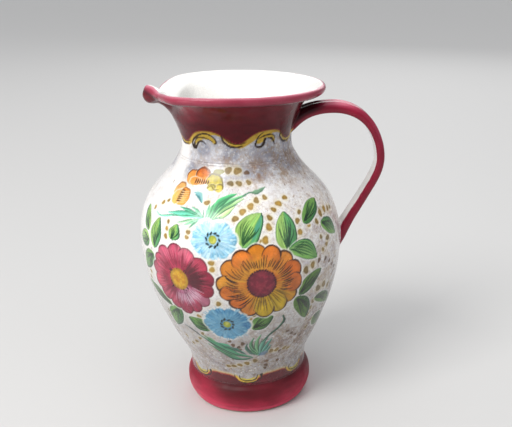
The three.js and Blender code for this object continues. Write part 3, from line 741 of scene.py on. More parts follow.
    # ---- upper bud, seen from the side
    white = rgb(246, 243, 234)
    def petal(u, v, rx, ry, col, col2, seed, outline=None, turn=0.0):
        i, du, dv = P.near(u, v, rx * 1.5, ry * 1.5 + rx * 0.4)
        if len(i) == 0:
            return
        k = k_at(v)
        c_, s_ = math.cos(turn), math.sin(turn)
        x, y = (du * k * c_ + dv * s_) / (rx * k), (-du * k * s_ + dv * c_) / ry
        ph = np.arctan2(y, x)
        edge = 1 + 0.05 * np.sin(3 * ph + seed) + 0.03 * np.sin(7 * ph + 2 * seed)
        r = np.hypot(x, y) / edge
        sc = (rx * k + ry) / 2
        P.lay(i, 0.7 * ss(2.4, 0.0, (r - 1) * sc), rgb(243, 240, 235), 0.05)
        g = ss(-0.5, 0.8, y + 0.5 * noise2(x, y, 0.5, 0.16, seed))
        c = col2 * (1 - g[:, None]) + col * g[:, None]
        c = c * (1 + 0.10 * noise2(x, y, 0.25, 1.2, seed + 1)[:, None])
        P.lay(i, 0.96 * ss(0.5, -0.5, (r - 1) * sc), np.clip(c, 0, 1))
        if outline is not None:
            press = ss(-0.5, 0.7, y + 0.4 * np.cos(ph * 2 + seed))
            wd = 0.2 + 0.55 * press
            P.lay(i, 0.8 * ss(wd + 0.4, wd - 0.3, np.abs(r - 1) * sc) * (0.25 + 0.75 * press), outline, 0.5)
    stroke(P, [(-92, 255), (-72, 256.5), (-50, 259.5)], 8, 13, white, 304, 8, streak=0.02, h=0.1)
    petal(-95.0, 251.5, 10.5, 8.0, rgb(226, 166, 90), rgb(236, 186, 110), 311, rgb(140, 90, 50))
    petal(-84.5, 244.2, 12.5, 10.0, rgb(226, 146, 58), rgb(230, 164, 72), 312, rgb(150, 86, 30))
    petal(-93.5, 243.0, 8.0, 8.4, rgb(232, 180, 106), rgb(236, 188, 96), 313)
    petal(-82.0, 267.6, 12.6, 8.0, rgb(220, 132, 50), rgb(234, 156, 70), 314, rgb(96, 48, 16))
    petal(-63.0, 270.0, 14.6, 9.2, rgb(202, 96, 20), rgb(228, 136, 48), 315, rgb(62, 26, 8))
    petal(-74.0, 263.6, 11.0, 4.6, rgb(226, 138, 54), rgb(236, 158, 74), 309)
    stroke(P, [(-73, 277), (-62, 279.2), (-51, 273.6)], 1.0, 2.6, rgb(128, 62, 18), 316, 0.8, alpha=0.75)
    petal(-40.4, 267.0, 13.6, 7.2, rgb(172, 156, 12), rgb(198, 178, 26), 317, rgb(60, 48, 8))
    petal(-31.4, 258.6, 6.0, 4.6, rgb(210, 188, 48), rgb(224, 202, 84), 318, rgb(112, 90, 20), turn=-0.5)
    petal(-43.4, 258.6, 6.4, 3.6, rgb(206, 192, 70), rgb(226, 212, 120), 319, rgb(120, 104, 36))
    blob(P, -36.0, 275.8, 5.4, rgb(128, 124, 26), 0.4, squash=0.66)
    stroke(P, [(-53, 272.4), (-44, 273.4), (-34, 272.4), (-27, 266), (-25, 258)], 0.8, 1.3, rgb(84, 72, 20), 320, 0.7, alpha=0.85)
    stroke(P, [(-50, 257.6), (-44, 260.4), (-38, 256.6), (-31, 257.6)], 0.6, 1.2, rgb(110, 92, 30), 321, 0.5, alpha=0.8)
    for s in range(7):
        x = -73.5 + 3.8 * s
        stroke(P, [(x, 261.6 + 0.15 * s), (x + 0.5, 264.2), (x + 0.2, 266.6)], 0.9, 1.6, rgb(66, 28, 10), 322 + s, 0.5, alpha=0.95)
        stroke(P, [(x + 1.8, 261.6), (x + 2.2, 265), (x + 2.0, 268.6)], 0.6, 1.0, rgb(246, 196, 130), 330 + s, 0.4, alpha=0.45)
    for s in range(6):
        y = 251.0 - 2.5 * s
        stroke(P, [(-90.0, y), (-86.8, y + 0.2), (-83.6, y + 0.5)], 1.4, 1.5, rgb(84, 40, 16), 338 + s, 0.4, alpha=0.92)
        stroke(P, [(-88.0, y - 1.2), (-81, y - 0.6), (-74.5, y + 1.0)], 0.7, 1.1, rgb(252, 222, 172), 345 + s, 0.4, alpha=0.6)
    stroke(P, [(-66.6, 251.4), (-60.5, 250.6), (-55, 246.6), (-50.6, 240.8)], 1.8, 6.2, rgb(110, 176, 182), 352, 0.8, light=rgb(150, 202, 196))
    stroke(P, [(-64, 249.0), (-58.4, 246.8), (-51.6, 240.8)], 1.0, 2.4, rgb(58, 126, 128), 353, 0.6)
    stroke(P, [(-86, 256.4), (-76, 257.4), (-66, 255.8)], 0.5, 0.9, rgb(150, 186, 172), 354, 0.4, alpha=0.6)
    stroke(P, [(-70, 253.8), (-60, 254.6), (-52, 257.2)], 0.5, 0.9, rgb(170, 190, 168), 355, 0.4, alpha=0.55)

    # ---- blue flowers
    def blue(u0, v0, ru, rv, pale, mid, deep, n, seed, disc_r):
        rng2 = np.random.RandomState(seed)
        petals = []
        for s in range(n):
            a = 360.0 * ((s * 5) % n) / n + rng2.uniform(-5, 5)
            m = rng2.uniform(0, 1)
            petals.append((a, rng2.uniform(0.90, 1.02), mid * (1 - 0.5 * m) + (pale if s % 3 else deep) * 0.5 * m))
        inner = [(x * 60.0, mid * 0.55 + pale * 0.45 if x % 2 else pale * 0.75 + mid * 0.25) for x in range(6)]
        flower(P, u0, v0, ru, rv, petals, seed, inner, r_in=0.62, plump=1.12, streak=0.13, soft=0.9, mottled=0.06, tip=-0.04)
        rays(P, u0, v0, ru, rv, np.linspace(0, 350, 36), 0.48, 0.92, 1.7, pale, seed + 1, alpha=0.40, jitter=5)
        rays(P, u0, v0, ru, rv, np.linspace(3, 353, 30), 0.34, 0.80, 1.1, deep, seed + 2, alpha=0.20, jitter=4)
        rays(P, u0, v0, ru, rv, np.linspace(5, 350, n), 0.66, 0.96, 2.6, deep, seed + 3, alpha=0.20, jitter=6)
        rays(P, u0, v0, ru, rv, np.linspace(2, 355, 40), 0.84, 1.06, 1.5, mid * 0.4 + pale * 0.6, seed + 7, alpha=0.75, jitter=5)
        rays(P, u0, v0, ru, rv, np.linspace(9, 340, 12), 0.70, 1.02, 2.4, np.clip(pale * 1.1, 0, 1), seed + 4, alpha=0.55, jitter=9)
        disc(P, u0, v0, disc_r * 1.75, disc_r * 1.6, mid * 0.5 + pale * 0.5, mid, seed + 4)
        disc(P, u0, v0, disc_r, disc_r, rgb(204, 204, 92), rgb(164, 176, 54), seed + 5)
        rd = np.random.RandomState(seed + 6)
        for s in range(10):
            a_ = 2 * math.pi * (s + rd.uniform(-0.14, 0.14)) / 10
            r_ = disc_r * rd.uniform(1.42, 1.62)
            px, py = u0 + r_ * math.cos(a_), v0 + r_ * math.sin(a_)
            ta = a_ + math.pi / 2 + rd.uniform(0.45, 0.85)
            L = rd.uniform(1.1, 1.6)
            stroke(P, [(px - L * math.cos(ta), py - L * math.sin(ta)), (px, py), (px + L * math.cos(ta), py + L * math.sin(ta))],
                   1.5, 2.1, rgb(16, 30, 26), s, 1.2, alpha=0.97, streak=0.0, h=0.6)
    blue(-32.0, 204.2, 26.0, 20.5, rgb(212, 236, 246), rgb(132, 200, 232), rgb(76, 156, 210), 13, 320, 4.6)

    # ---- red flower
    R_O, R_M = rgb(190, 66, 96), rgb(168, 44, 76)
    R_D = rgb(138, 20, 50)
    red = [
        (96, 0.97, R_O), (38, 0.99, rgb(172, 40, 70)), (-38, 0.97, rgb(186, 104, 130)), (-112, 0.97, R_M), (170, 1.0, R_O),
        (128, 0.99, rgb(196, 76, 106)), (69, 0.95, rgb(196, 74, 102)), (11, 1.0, R_D), (-13, 0.96, rgb(146, 26, 54)), (-64, 0.98, rgb(168, 44, 76)),
        (-88, 1.03, rgb(160, 38, 70)), (-139, 0.99, R_M), (-165, 1.0, rgb(196, 62, 90)), (150, 0.97, R_O),
    ]
    red_in = [
        (92, rgb(178, 44, 78)), (60, rgb(150, 26, 58)), (30, rgb(104, 10, 36)), (0, rgb(84, 6, 28)), (-18, rgb(112, 20, 48)),
        (-34, rgb(182, 120, 146)), (-62, rgb(188, 132, 156)), (-92, rgb(172, 104, 134)), (-112, rgb(150, 50, 82)), (-150, rgb(146, 26, 58)),
        (180, rgb(158, 32, 64)), (140, rgb(176, 44, 76)),
    ]
    flower(P, -74, 155.2, 42.4, 41, red, 340, red_in, r_in=0.64, plump=1.04, outline=rgb(92, 10, 34), line=1.05, streak=0.16, mottled=0.10, hook=100)
    rays(P, -74, 155.2, 42.4, 41, np.linspace(56, 250, 46), 0.36, 0.76, 0.8, rgb(120, 16, 46), 341, alpha=0.66, bend=0.4)
    rays(P, -74, 155.2, 42.4, 41, np.linspace(-14, 52, 17), 0.34, 0.84, 1.3, rgb(74, 4, 24), 342, alpha=0.78)
    rays(P, -74, 155.2, 42.4, 41, np.linspace(-112, -22, 22), 0.36, 0.74, 1.0, rgb(240, 218, 228), 343, alpha=0.62)
    rays(P, -74, 155.2, 42.4, 41, np.linspace(-120, -30, 11), 0.33, 0.55, 0.9, rgb(104, 26, 58), 344, alpha=0.6)
    rays(P, -74, 155.2, 42.4, 41, np.linspace(58, 250, 40), 0.56, 0.94, 1.0, rgb(232, 138, 156), 345, alpha=0.34, jitter=3)
    rays(P, -74, 155.2, 42.4, 41, np.linspace(-10, 50, 12), 0.62, 0.92, 0.9, rgb(206, 84, 108), 346, alpha=0.34, jitter=3)
    disc(P, -75, 156.2, 12.2, 12.6, rgb(222, 172, 34), rgb(198, 136, 14), 347)
    rays(P, -75, 156.2, 12.2, 12.6, np.linspace(0, 346, 27), 0.98, 1.34, 1.75, rgb(52, 4, 18), 348, alpha=0.95, jitter=2)
    # ---- orange flower
    O_, OR, AM, YE = rgb(214, 126, 22), rgb(206, 100, 20), rgb(218, 144, 38), rgb(206, 168, 14)
    ora = [
        (150, 0.99, O_), (45, 0.97, rgb(220, 132, 38)), (-34, 0.98, rgb(210, 142, 24)), (-113, 0.99, rgb(212, 122, 32)), (180, 1.01, AM),
        (96, 1.0, O_), (18, 1.0, OR), (-60, 0.99, YE), (-138, 0.94, OR), (123, 0.98, rgb(220, 120, 34)),
        (71, 0.97, rgb(216, 116, 34)), (-8, 1.0, rgb(206, 104, 32)), (-86, 1.01, YE), (-162, 0.99, rgb(214, 112, 32)),
    ]
    ora_in = [
        (95, rgb(206, 138, 36)), (60, rgb(204, 122, 36)), (20, rgb(194, 104, 32)), (-10, rgb(196, 112, 30)), (-38, rgb(196, 146, 26)),
        (-66, rgb(190, 152, 22)), (-92, rgb(192, 148, 24)), (-118, rgb(196, 122, 28)), (-150, rgb(196, 108, 30)), (180, rgb(198, 116, 34)),
        (140, rgb(206, 134, 40)),
    ]
    flower(P, 18, 157.2, 47.8, 42.6, ora, 360, ora_in, r_in=0.62, plump=1.06, outline=rgb(56, 26, 10), line=1.5, streak=0.10, mottled=0.10)
    F = (18, 157.2, 47.8, 42.6)
    rays(P, *F, np.linspace(0, 352, 50), 0.36, 0.64, 1.6, rgb(222, 166, 46), 361, alpha=0.45, jitter=3)
    rays(P, *F, np.linspace(54, 128, 14), 0.42, 0.70, 1.05, rgb(72, 34, 8), 362, alpha=0.92)
    rays(P, *F, np.linspace(132, 154, 4), 0.46, 0.74, 1.10, rgb(84, 40, 12), 363, alpha=0.90, bend=-1.0)
    rays(P, *F, np.linspace(160, 204, 8), 0.48, 0.86, 1.45, rgb(40, 18, 8), 364, alpha=0.97, bend=-1.6, heavy=1.35)
    rays(P, *F, np.linspace(209, 240, 6), 0.44, 0.84, 1.35, rgb(46, 20, 8), 365, alpha=0.96, bend=-1.2, heavy=1.25)
    rays(P, *F, np.linspace(-26, 24, 9), 0.46, 0.78, 1.35, rgb(46, 20, 8), 366, alpha=0.96, bend=0.9, heavy=1.2)
    rays(P, *F, np.linspace(30, 49, 4), 0.44, 0.76, 1.15, rgb(60, 28, 10), 367, alpha=0.92, bend=0.6)
    rays(P, *F, np.linspace(-112, -32, 14), 0.38, 0.84, 0.95, rgb(84, 62, 6), 368, alpha=0.90)
    rays(P, *F, np.linspace(-108, -32, 10), 0.50, 0.90, 1.5, rgb(232, 200, 84), 369, alpha=0.34, jitter=4)
    disc(P, 18, 156.6, 15.8, 15.8, rgb(116, 22, 48), rgb(146, 40, 62), 370, dashes=34, dash_r=0.98, dash=2.1, dash_col=rgb(58, 6, 22))
    # ---- lower blue flower, over the petals above it
    blue(-24.0, 104.6, 28.6, 24.6, rgb(142, 196, 220), rgb(74, 146, 190), rgb(42, 108, 164), 14, 380, 4.9)


def reverse_side(P):
    """The far side: five sprigs, sprays of green strokes and lines of dots."""
    half = CIRC / 2
    if not ((P.u % CIRC > 130) & (P.u % CIRC < 600)).any():
        return
    greens = (rgb(84, 178, 146), rgb(46, 146, 84), rgb(142, 196, 120), rgb(66, 150, 104))

    def spray(u0, v0, spread, L, seed, n=7):
        rng2 = np.random.RandomState(seed)
        for m in range(n):
            a = math.radians(spread[0] + (spread[1] - spread[0]) * m / (n - 1) + rng2.uniform(-4, 4))
            l = L * rng2.uniform(0.72, 1.05)
            b = a + rng2.uniform(-0.4, 0.4)
            pts = [(u0, v0), (u0 + 0.5 * l * math.cos(a), v0 + 0.5 * l * math.sin(a)),
                   (u0 + 0.5 * l * (math.cos(a) + math.cos(b)), v0 + 0.5 * l * (math.sin(a) + math.sin(b)))]
            col = greens[(m + seed) % 4]
            stroke(P, pts, 1.4, rng2.uniform(3.0, 5.6), col, seed + m, 0.6, light=np.clip(col * 1.28 + 0.08, 0, 1), edge=rgb(32, 92, 66), streak=0.2)
            stroke(P, pts, 0.4, 0.9, rgb(30, 92, 62), seed + 20 + m, 0.3, alpha=0.6, streak=0.0)

    spray(half - 52, 232, (20, 160), 34, 701)
    spray(half + 60, 234, (10, 150), 34, 711)
    spray(half - 62, 96, (190, 330), 40, 721)
    spray(half + 66, 88, (200, 350), 38, 731)
    spray(half + 6, 76, (215, 325), 30, 741, 5)

    def sprig(u0, v0, s, seed, kind):
        for a, L, w in ((100, 30, 14), (148, 31, 13), (58, 30, 13), (205, 27, 12), (-22, 27, 12), (248, 26, 13), (-64, 26, 13)):
            a_ = math.radians(a + 6 * math.sin(seed))
            b = (u0 + 13 * s * math.cos(a_), v0 + 13 * s * math.sin(a_))
            t = (u0 + (13 + L) * s * math.cos(a_), v0 + (13 + L) * s * math.sin(a_))
            leaf(P, b, t, w * s, LEAF_ML, LEAF_MD, seed + a % 50, 0.18, 5, outline=rgb(24, 66, 40))
        n = 13
        cols, mid, ol, ray_, core = {
            "warm": ((rgb(214, 126, 22), rgb(206, 100, 20), rgb(218, 144, 38)), rgb(200, 124, 34), rgb(56, 26, 10), rgb(46, 20, 8), (rgb(116, 22, 48), rgb(146, 40, 62), rgb(58, 6, 22))),
            "cool": ((rgb(132, 200, 232), rgb(100, 174, 218), rgb(170, 216, 238)), rgb(160, 212, 238), None, rgb(76, 146, 200), (rgb(204, 204, 92), rgb(164, 176, 54), rgb(16, 30, 26))),
            "red": ((rgb(190, 66, 96), rgb(168, 44, 76), rgb(196, 76, 106)), rgb(150, 30, 62), rgb(92, 10, 34), rgb(96, 8, 34), (rgb(222, 172, 34), rgb(198, 136, 14), rgb(52, 4, 18))),
        }[kind]
        pet = [(360 * ((4 * j) % n) / n + 7, 1.0 - 0.03 * (j % 3), cols[j % 3]) for j in range(n)]
        flower(P, u0, v0, 21 * s, 20 * s, pet, seed, [(x * 90.0, mid) for x in range(4)], plump=1.06, outline=ol, line=1.1)
        rays(P, u0, v0, 21 * s, 20 * s, np.linspace(0, 342, 20), 0.42, 0.80, 1.1, ray_, seed + 1, alpha=0.85)
        disc(P, u0, v0, 6.4 * s, 6.4 * s, core[0], core[1], seed + 2)
        rays(P, u0, v0, 6.4 * s, 6.4 * s, np.linspace(0, 340, 18), 1.02, 1.40, 1.6, core[2], seed + 3, alpha=0.95)

    sprig(half - 2, 160, 1.62, 400, "warm")
    sprig(half - 106, 192, 1.12, 430, "cool")
    sprig(half + 110, 152, 1.22, 460, "red")
    sprig(half - 92, 118, 0.72, 480, "red")
    sprig(half + 84, 212, 0.74, 490, "cool")
    halo = rgb(238, 224, 178)
    rng = np.random.RandomState(9)
    for u0, v0, u1, v1, n in (
        (half - 36, 248, half + 4, 254, 6), (half + 22, 254, half + 44, 246, 4), (half - 128, 84, half - 96, 66, 6),
        (half + 28, 66, half + 54, 60, 4), (half - 146, 150, half - 132, 110, 6), (half + 156, 190, half + 168, 150, 5),
        (half - 40, 60, half - 16, 54, 4), (half - 150, 80, half - 120, 52, 6), (half + 104, 84, half + 150, 92, 7),
        (half - 150, 226, half - 112, 246, 6), (half + 104, 246, half + 146, 234, 6), (half - 66, 186, half - 58, 156, 5),
        (half + 62, 178, half + 66, 128, 6), (half - 60, 44, half + 60, 44, 13), (half - 150, 36, half - 84, 44, 8), (half + 84, 44, half + 150, 38, 8),
    ):
        for s in range(n):
            t = s / (n - 1)
            blob(
                P, u0 + (u1 - u0) * t, v0 + (v1 - v0) * t + 5 * math.sin(math.pi * t) + rng.uniform(-1, 1),
                rng.uniform(2.2, 3.5), OCHRE * rng.uniform(0.85, 1.08), s + u0, halo=halo,
            )
    for s in range(520):
        u, v = half + rng.uniform(-200, 205), rng.uniform(24, 262)
        a, L = rng.uniform(0, math.pi), rng.uniform(1.6, 3.8)
        if rng.uniform() > 0.25 + 0.4 * (v < 100):
            continue
        stroke(P, [(u, v), (u + L * math.cos(a), v + L * math.sin(a))], 0.6, 1.1, BROWN * rng.uniform(0.9, 1.3), s, 0.5, alpha=0.35)


def e_neck(u, per):
    x = (u - 1.0 + per / 2) % per - per / 2
    w = 2 * math.pi * x / per
    return 311.6 - 6.2 * np.cos(w) - 1.2 * np.cos(2 * w)


def borders(P):
    """Crimson glaze over the neck and foot, with gold scallops and dark scrolls."""
    u, v, p = P.u, P.v, P.p
    full = np.arange(len(u))
    ink = rgb(40, 26, 18)
    if v.max() > 285:
        per = CIRC / 6
        j = full[v > 285]
        vv, uu = v[j], u[j]
        e = e_neck(uu, per) + 0.55 * noise(p[j], 14.0, 81)
        x = (uu + 60 - 1.0 + per / 2) % per - per / 2
        gold_w = 3.3 + 4.6 * np.exp(-(((x + 30) / 17) ** 2)) + 1.2 * np.cos(x / 9.0)
        gt = (0.5 + 0.5 * noise(p[j], 5.0, 83))[:, None]
        gold_c = rgb(206, 170, 62) * gt + rgb(164, 130, 34) * (1 - gt)
        P.lay(j, 0.94 * ss(-0.4, 0.5, vv - (e - gold_w)), gold_c, 0.4)
        for s in range(6):
            c0 = s * per
            m = c0 + per / 2
            if s % 2:  # the broad scroll, its belly filled with gold
                stroke(P, [(m - 30, 303), (m - 18, 308.6), (m - 2, 311.2), (m + 10, 308.8), (m + 17, 305)], 3.0, 6.4, rgb(188, 156, 52), 570 + s, 3.4)
            else:
                stroke(P, [(m - 19, 304.6), (m - 14, 309.4), (m - 2, 311.6), (m + 10, 309.4), (m + 16, 305)], 3.4, 5.6, rgb(192, 158, 50), 575 + s, 3.6)
        # the crimson itself
        crim = ss(-0.4, 0.6, vv - e)
        P.lay(j, crim, np.tile(CRIMSON, (len(j), 1)), 0.2)
        P.lay(j, 0.55 * ss(1.0, 0.3, np.abs(vv - e)), rgb(84, 40, 18), 0.5)
        for s in range(6):
            c0 = s * per
            # under each tongue
            stroke(P, [(c0 - 28.8, 312.4), (c0 - 26.8, 307.5), (c0 - 20, 303.4), (c0 - 10, 301.1), (c0 + 1, 300.8), (c0 + 10, 301.9)], 1.6, 2.4, ink, 520 + s, 0.8, h=0.6)
            stroke(P, [(c0 - 25, 311), (c0 - 17.5, 306.9), (c0 - 7.5, 304.4), (c0 + 4, 303.8), (c0 + 17.5, 305.6)], 1.4, 1.3, rgb(70, 38, 18), 530 + s, 0.7, h=0.6)
            stroke(P, [(c0 - 24, 308.4), (c0 - 16, 304.6), (c0 - 6, 302.6), (c0 + 6, 302.4)], 0.8, 1.7, rgb(204, 170, 62), 535 + s, 0.6)
            m = c0 + per / 2
            if s % 2 == 0:  # curl on the left, two arcs over it
                stroke(P, [(m - 4.4, 307.2), (m - 6.4, 303.6), (m - 11, 300.6), (m - 18, 299.9), (m - 23.6, 301.2), (m - 25.4, 304)], 3.2, 2.5, ink, 500 + s, 1.2, h=0.6)
                blob(P, m - 5.6, 307, 1.9, ink, s)
                stroke(P, [(m - 24, 302.6), (m - 21.4, 308), (m - 17.4, 311.6), (m - 10, 314.6)], 1.4, 1.3, ink, 540 + s, 0.6, h=0.6)
                stroke(P, [(m - 17.8, 308.6), (m - 6, 311.2), (m + 7, 311.6), (m + 16.6, 309.6), (m + 19.4, 307.4)], 0.9, 1.5, ink, 550 + s, 0.9, h=0.6)
                stroke(P, [(m + 2, 308.2), (m + 9.4, 307.6), (m + 15.8, 304.6), (m + 19.6, 300.8)], 1.2, 2.0, ink, 560 + s, 1.3, h=0.6)
                stroke(P, [(m - 16, 304.4), (m - 12, 306.6), (m - 8, 308.6)], 2.4, 4.4, rgb(196, 160, 60), 565 + s, 1.6)
            else:  # one broad arch with a curled end
                stroke(P, [(m - 31, 303), (m - 37, 298.9), (m - 38.6, 302.4), (m - 35, 305.6), (m - 25, 309.4), (m - 12, 312.9), (m, 314.2), (m + 10, 312.6),
                           (m + 17.6, 309), (m + 20.6, 305.2), (m + 16.6, 303.6)], 2.2, 1.7, ink, 500 + s, 1.3, h=0.6)
                stroke(P, [(m - 38, 301), (m - 34, 297.9), (m - 28.6, 298.3), (m - 24.6, 301.6), (m - 18, 304.8), (m - 10, 305.4), (m - 3, 303)], 2.6, 2.0, ink, 510 + s, 0.8, h=0.6)
                blob(P, m - 29.6, 298.8, 1.9, ink, s)
                stroke(P, [(m - 30, 304.8), (m - 22, 308.4), (m - 10, 309.6), (m, 309.2), (m + 12, 305.8)], 0.9, 1.3, ink, 545 + s, 0.6, h=0.6)
    if v.min() < 26:
        per = CIRC / 7
        j = full[v < 26]
        vv, uu = v[j], u[j]
        e = e_foot(uu, per) + 0.6 * noise(p[j], 14.0, 87)
        rust = ss(4.5, 0.4, np.abs(vv - e)) * 0.65
        P.lay(j, rust * ss(-0.5, 0.5, vv - e), rgb(206, 172, 108), 0.2)
        P.lay(j, ss(0.8, -0.6, vv - e), np.tile(CRIMSON, (len(j), 1)), 0.2)
        P.lay(j, 0.55 * ss(1.6, 0.2, np.abs(vv - e + 0.4)), rgb(150, 112, 40), 0.3)
        for s in range(7):
            c0 = -3.5 + s * per
            stroke(P, [(c0 - 22.5, 11.6), (c0 - 16, 6.6), (c0, 3.6), (c0 + 13, 5.6), (c0 + 20, 11.0)], 2.4, 3.4, rgb(196, 164, 60), 640 + s, 2.0)
            stroke(P, [(c0 - 15, 8.8), (c0 - 1, 6.0), (c0 + 12, 8.8)], 1.6, 3.4, rgb(176, 160, 56), 645 + s, 1.4)
            stroke(P, [(c0 - 25.4, 13), (c0 - 25, 8.4), (c0 - 17, 4.0), (c0 - 6, 2.1), (c0 + 6, 2.1), (c0 + 17, 3.8), (c0 + 25, 7.6), (c0 + 26.6, 11)], 0.9, 1.6, ink, 650 + s, 1.9, h=0.6)
            stroke(P, [(c0 - 16.4, 12.4), (c0 - 15.8, 8.6), (c0 - 9, 5.7), (c0 + 1, 4.9), (c0 + 10, 5.8), (c0 + 16.4, 8.6), (c0 + 18, 12.8)], 0.9, 1.6, ink, 660 + s, 0.8, h=0.6)
            blob(P, c0 + 25.4, 12.4, 1.9, ink, s)
    # tones of the crimson glaze: on the mouth darker by the border and lighter towards the rim, with a painted
    # highlight on the left of the flare; on the foot partly darker glaze and partly painted shade below the border,
    # with painted light lower down and on the left
    for sel, t in ((v > 296, 0), (v < 20, 1)):
        j = full[sel]
        if len(j) == 0:
            continue
        if t == 0:
            amt = ss(-2.0, -1.0, v[j] - e_neck(u[j], CIRC / 6))
            up = ss(312, 352, v[j])
            dark, light = rgb(74, 10, 20), rgb(116, 22, 38)
            dl = (u[j] + CIRC / 2) % CIRC - CIRC / 2
            # painted highlight: a paler streak on the left of the flare where a reflection falls
            painted_highlight = np.exp(-(((dl + 78) / 24) ** 2)) * ss(322, 333, v[j]) * ss(358, 344, v[j]) + 0.4 * np.exp(-(((dl + 40) / 14) ** 2)) * ss(320, 330, v[j])
            m = np.clip(0.16 + 0.46 * up + 0.30 * fbm(p[j], 34.0, 91, 2) + 0.9 * painted_highlight, 0, 1.9)
        else:
            amt = ss(2.5, 1.5, v[j] - e_foot(u[j], CIRC / 7))
            dl = (u[j] + CIRC / 2) % CIRC - CIRC / 2
            # painted shade below the border, reaching further down at the front, and painted light lower down and on
            # the left towards the key light
            vs = v[j] + 13.0 * np.exp(-(((dl - 6) / 74) ** 2))
            up = 0.62 * ss(6, -24, vs) + 0.50 * ss(-14, -40, v[j]) + 0.30 * ss(-30, -110, dl) * ss(-330, -230, dl)
            dark, light = rgb(76, 10, 20), rgb(194, 54, 82)
            m = np.clip(0.04 + 0.78 * up + 0.20 * fbm(p[j], 26.0, 93, 2), 0, 1)
        br = noise(np.stack([p[j, 0] / 1.0, p[j, 1] / 1.0, p[j, 2] * 3.2], 1), 9.0, 95)
        col = (dark * (1 - m[:, None]) + light * m[:, None]) * (1 + 0.08 * br[:, None])
        mask = amt * (np.abs(P.c[j] - CRIMSON).sum(1) < 0.05)
        P.c[j] = P.c[j] * (1 - mask[:, None]) + np.clip(col, 0, 1) * mask[:, None]


def e_foot(u, per):
    x = (u + 3.5 + per / 2) % per - per / 2
    w = 2 * math.pi * x / per
    return 9.8 - 5.2 * np.cos(w) - 1.4 * np.cos(2 * w)


def decorate(u, v, p):
    P = Paint(u, v, radius_at(v) / R0, p)
    ground(P)
    vmin, vmax = v.min(), v.max()
    if vmax > 30 and vmin < 290:
        bouquet(P)
        reverse_side(P)
    # painted shade: all the paint on the lower half of the belly is darkened a little, less so near the foot
    P.c *= (1 - 0.16 * ss(215, 110, v) * (1 - 0.60 * ss(90, 40, v)) * ss(0, 14, v))[:, None]
    borders(P)
    return P


# --------------------------------------------------------------------- meshes
def make_mesh(name, verts_mm, faces, attrs):
    """verts in mm; attrs: name -> (N x 3 colour) or (N) float."""
    mesh = bpy.data.meshes.new(name)
    n = len(verts_mm)
    mesh.vertices.add(n)
    mesh.vertices.foreach_set("co", (np.asarray(verts_mm) * MM).astype(np.float32).ravel())
    faces = np.asarray(faces, np.int32)
    m = len(faces)
    mesh.loops.add(m * 4)
    mesh.loops.foreach_set("vertex_index", faces.ravel())
    mesh.polygons.add(m)
    mesh.polygons.foreach_set("loop_start", np.arange(0, m * 4, 4, dtype=np.int32))
    mesh.update(calc_edges=True)
    mesh.validate()
    mesh.polygons.foreach_set("use_smooth", np.ones(len(mesh.polygons), bool))
    for key, val in attrs.items():
        val = np.asarray(val)
        if val.ndim == 2:
            a = mesh.attributes.new(key, "FLOAT_COLOR", "POINT")
            full = np.ones((n, 4), np.float32)
            full[:, :3] = to_linear(val)
            a.data.foreach_set("color", full.ravel())
        else:
            a = mesh.attributes.new(key, "FLOAT", "POINT")
            a.data.foreach_set("value", val.astype(np.float32))
    ob = bpy.data.objects.new(name, mesh)
    bpy.context.scene.collection.objects.link(ob)
    return ob


def grid_faces(rows, cols, closed_rows, closed_cols, flip=False):
    r = np.arange(rows if closed_rows else rows - 1)
    c = np.arange(cols if closed_cols else cols - 1)
    R, C = np.meshgrid(r, c, indexing="ij")
    R1, C1 = (R + 1) % rows, (C + 1) % cols
    f = np.stack([R * cols + C, R * cols + C1, R1 * cols + C1, R1 * cols + C], -1).reshape(-1, 4)
    return f[:, ::-1] if flip else f


def angles(front, nf, nb):
    """Angles from the front (-Y), positive to +X, finer on the painted front."""
    a = np.linspace(-front, front, nf, endpoint=False)
    b = np.linspace(front, 2 * math.pi - front, nb, endpoint=False)
    return np.concatenate([a, b])


def uneven(th, z, p):
    """Hand-made unevenness of the wall, in mm."""
    rings = 0.035 * np.sin(z / 2.9 + 0.8 * np.sin(th)) * (0.5 + 0.5 * noise(p, 60.0, 131))
    return 0.45 * noise(p, 95.0, 121) + 0.16 * noise(p, 32.0, 125) + rings


def turned(th, r, z):
    return np.stack([r * np.sin(th), -r * np.cos(th), z], -1)


def ring_points(th, loop):
    """Grid (rows x cols x 3) of a loop of (r, z) turned through the angles."""
    r, z = loop[:, 0][:, None], loop[:, 1][:, None]
    return turned(th[None, :] + 0 * r, r + 0 * th[None, :], z + 0 * th[None, :])


WHITE = rgb(244, 242, 238)
BISQUE = rgb(206, 178, 150)


def shell(name, th, outer, inner, v_rows, cols_attr=None, caps=True):
    """A closed turned wall: outer rows carry the decoration, inner rows are plain white glaze."""
    no, ni = len(outer), len(inner)
    loop = np.concatenate([outer, inner])
    g = ring_points(th, loop)
    cols = len(th)
    flat = g.reshape(-1, 3)
    thf = np.tile(th, len(loop))
    zf = np.repeat(loop[:, 1], cols)
    d = uneven(thf, zf, flat)
    rad = np.stack([np.sin(thf), -np.cos(thf), 0 * thf], 1)
    flat = flat + rad * d[:, None]
    n_out = no * cols
    u = np.tile(th * R0, no)
    v = np.repeat(v_rows, cols)
    P = decorate(u, v, flat[:n_out])
    paint = np.concatenate([P.c, np.tile(WHITE, (ni * cols, 1))])
    bare = np.concatenate([P.bare, np.zeros(ni * cols)])
    relief = np.concatenate([P.relief, np.zeros(ni * cols)])
    faces = grid_faces(len(loop), cols, True, True)
    ob = make_mesh(name, flat, faces, {"paint": paint, "bare": bare, "relief": relief, "rough": np.zeros(len(flat))})
    return ob, P


def offset(points, d):
    p = np.asarray(points, float)
    t = np.gradient(p, axis=0)
    L = np.hypot(t[:, 0], t[:, 1])[:, None]
    t = t / L
    return p + np.stack([-t[:, 1], t[:, 0]], 1) * d


# ------------------------------------------------------------------ the mouth
def crest_at(deg):
    c = np.array(CREST)
    a = np.concatenate([-c[:0:-1, 0], c[:, 0]])
    r = np.concatenate([c[:0:-1, 1], c[:, 1]])
    z = np.concatenate([c[:0:-1, 2], c[:, 2]])
    return pchip(a, r, deg), pchip(a, z, deg)


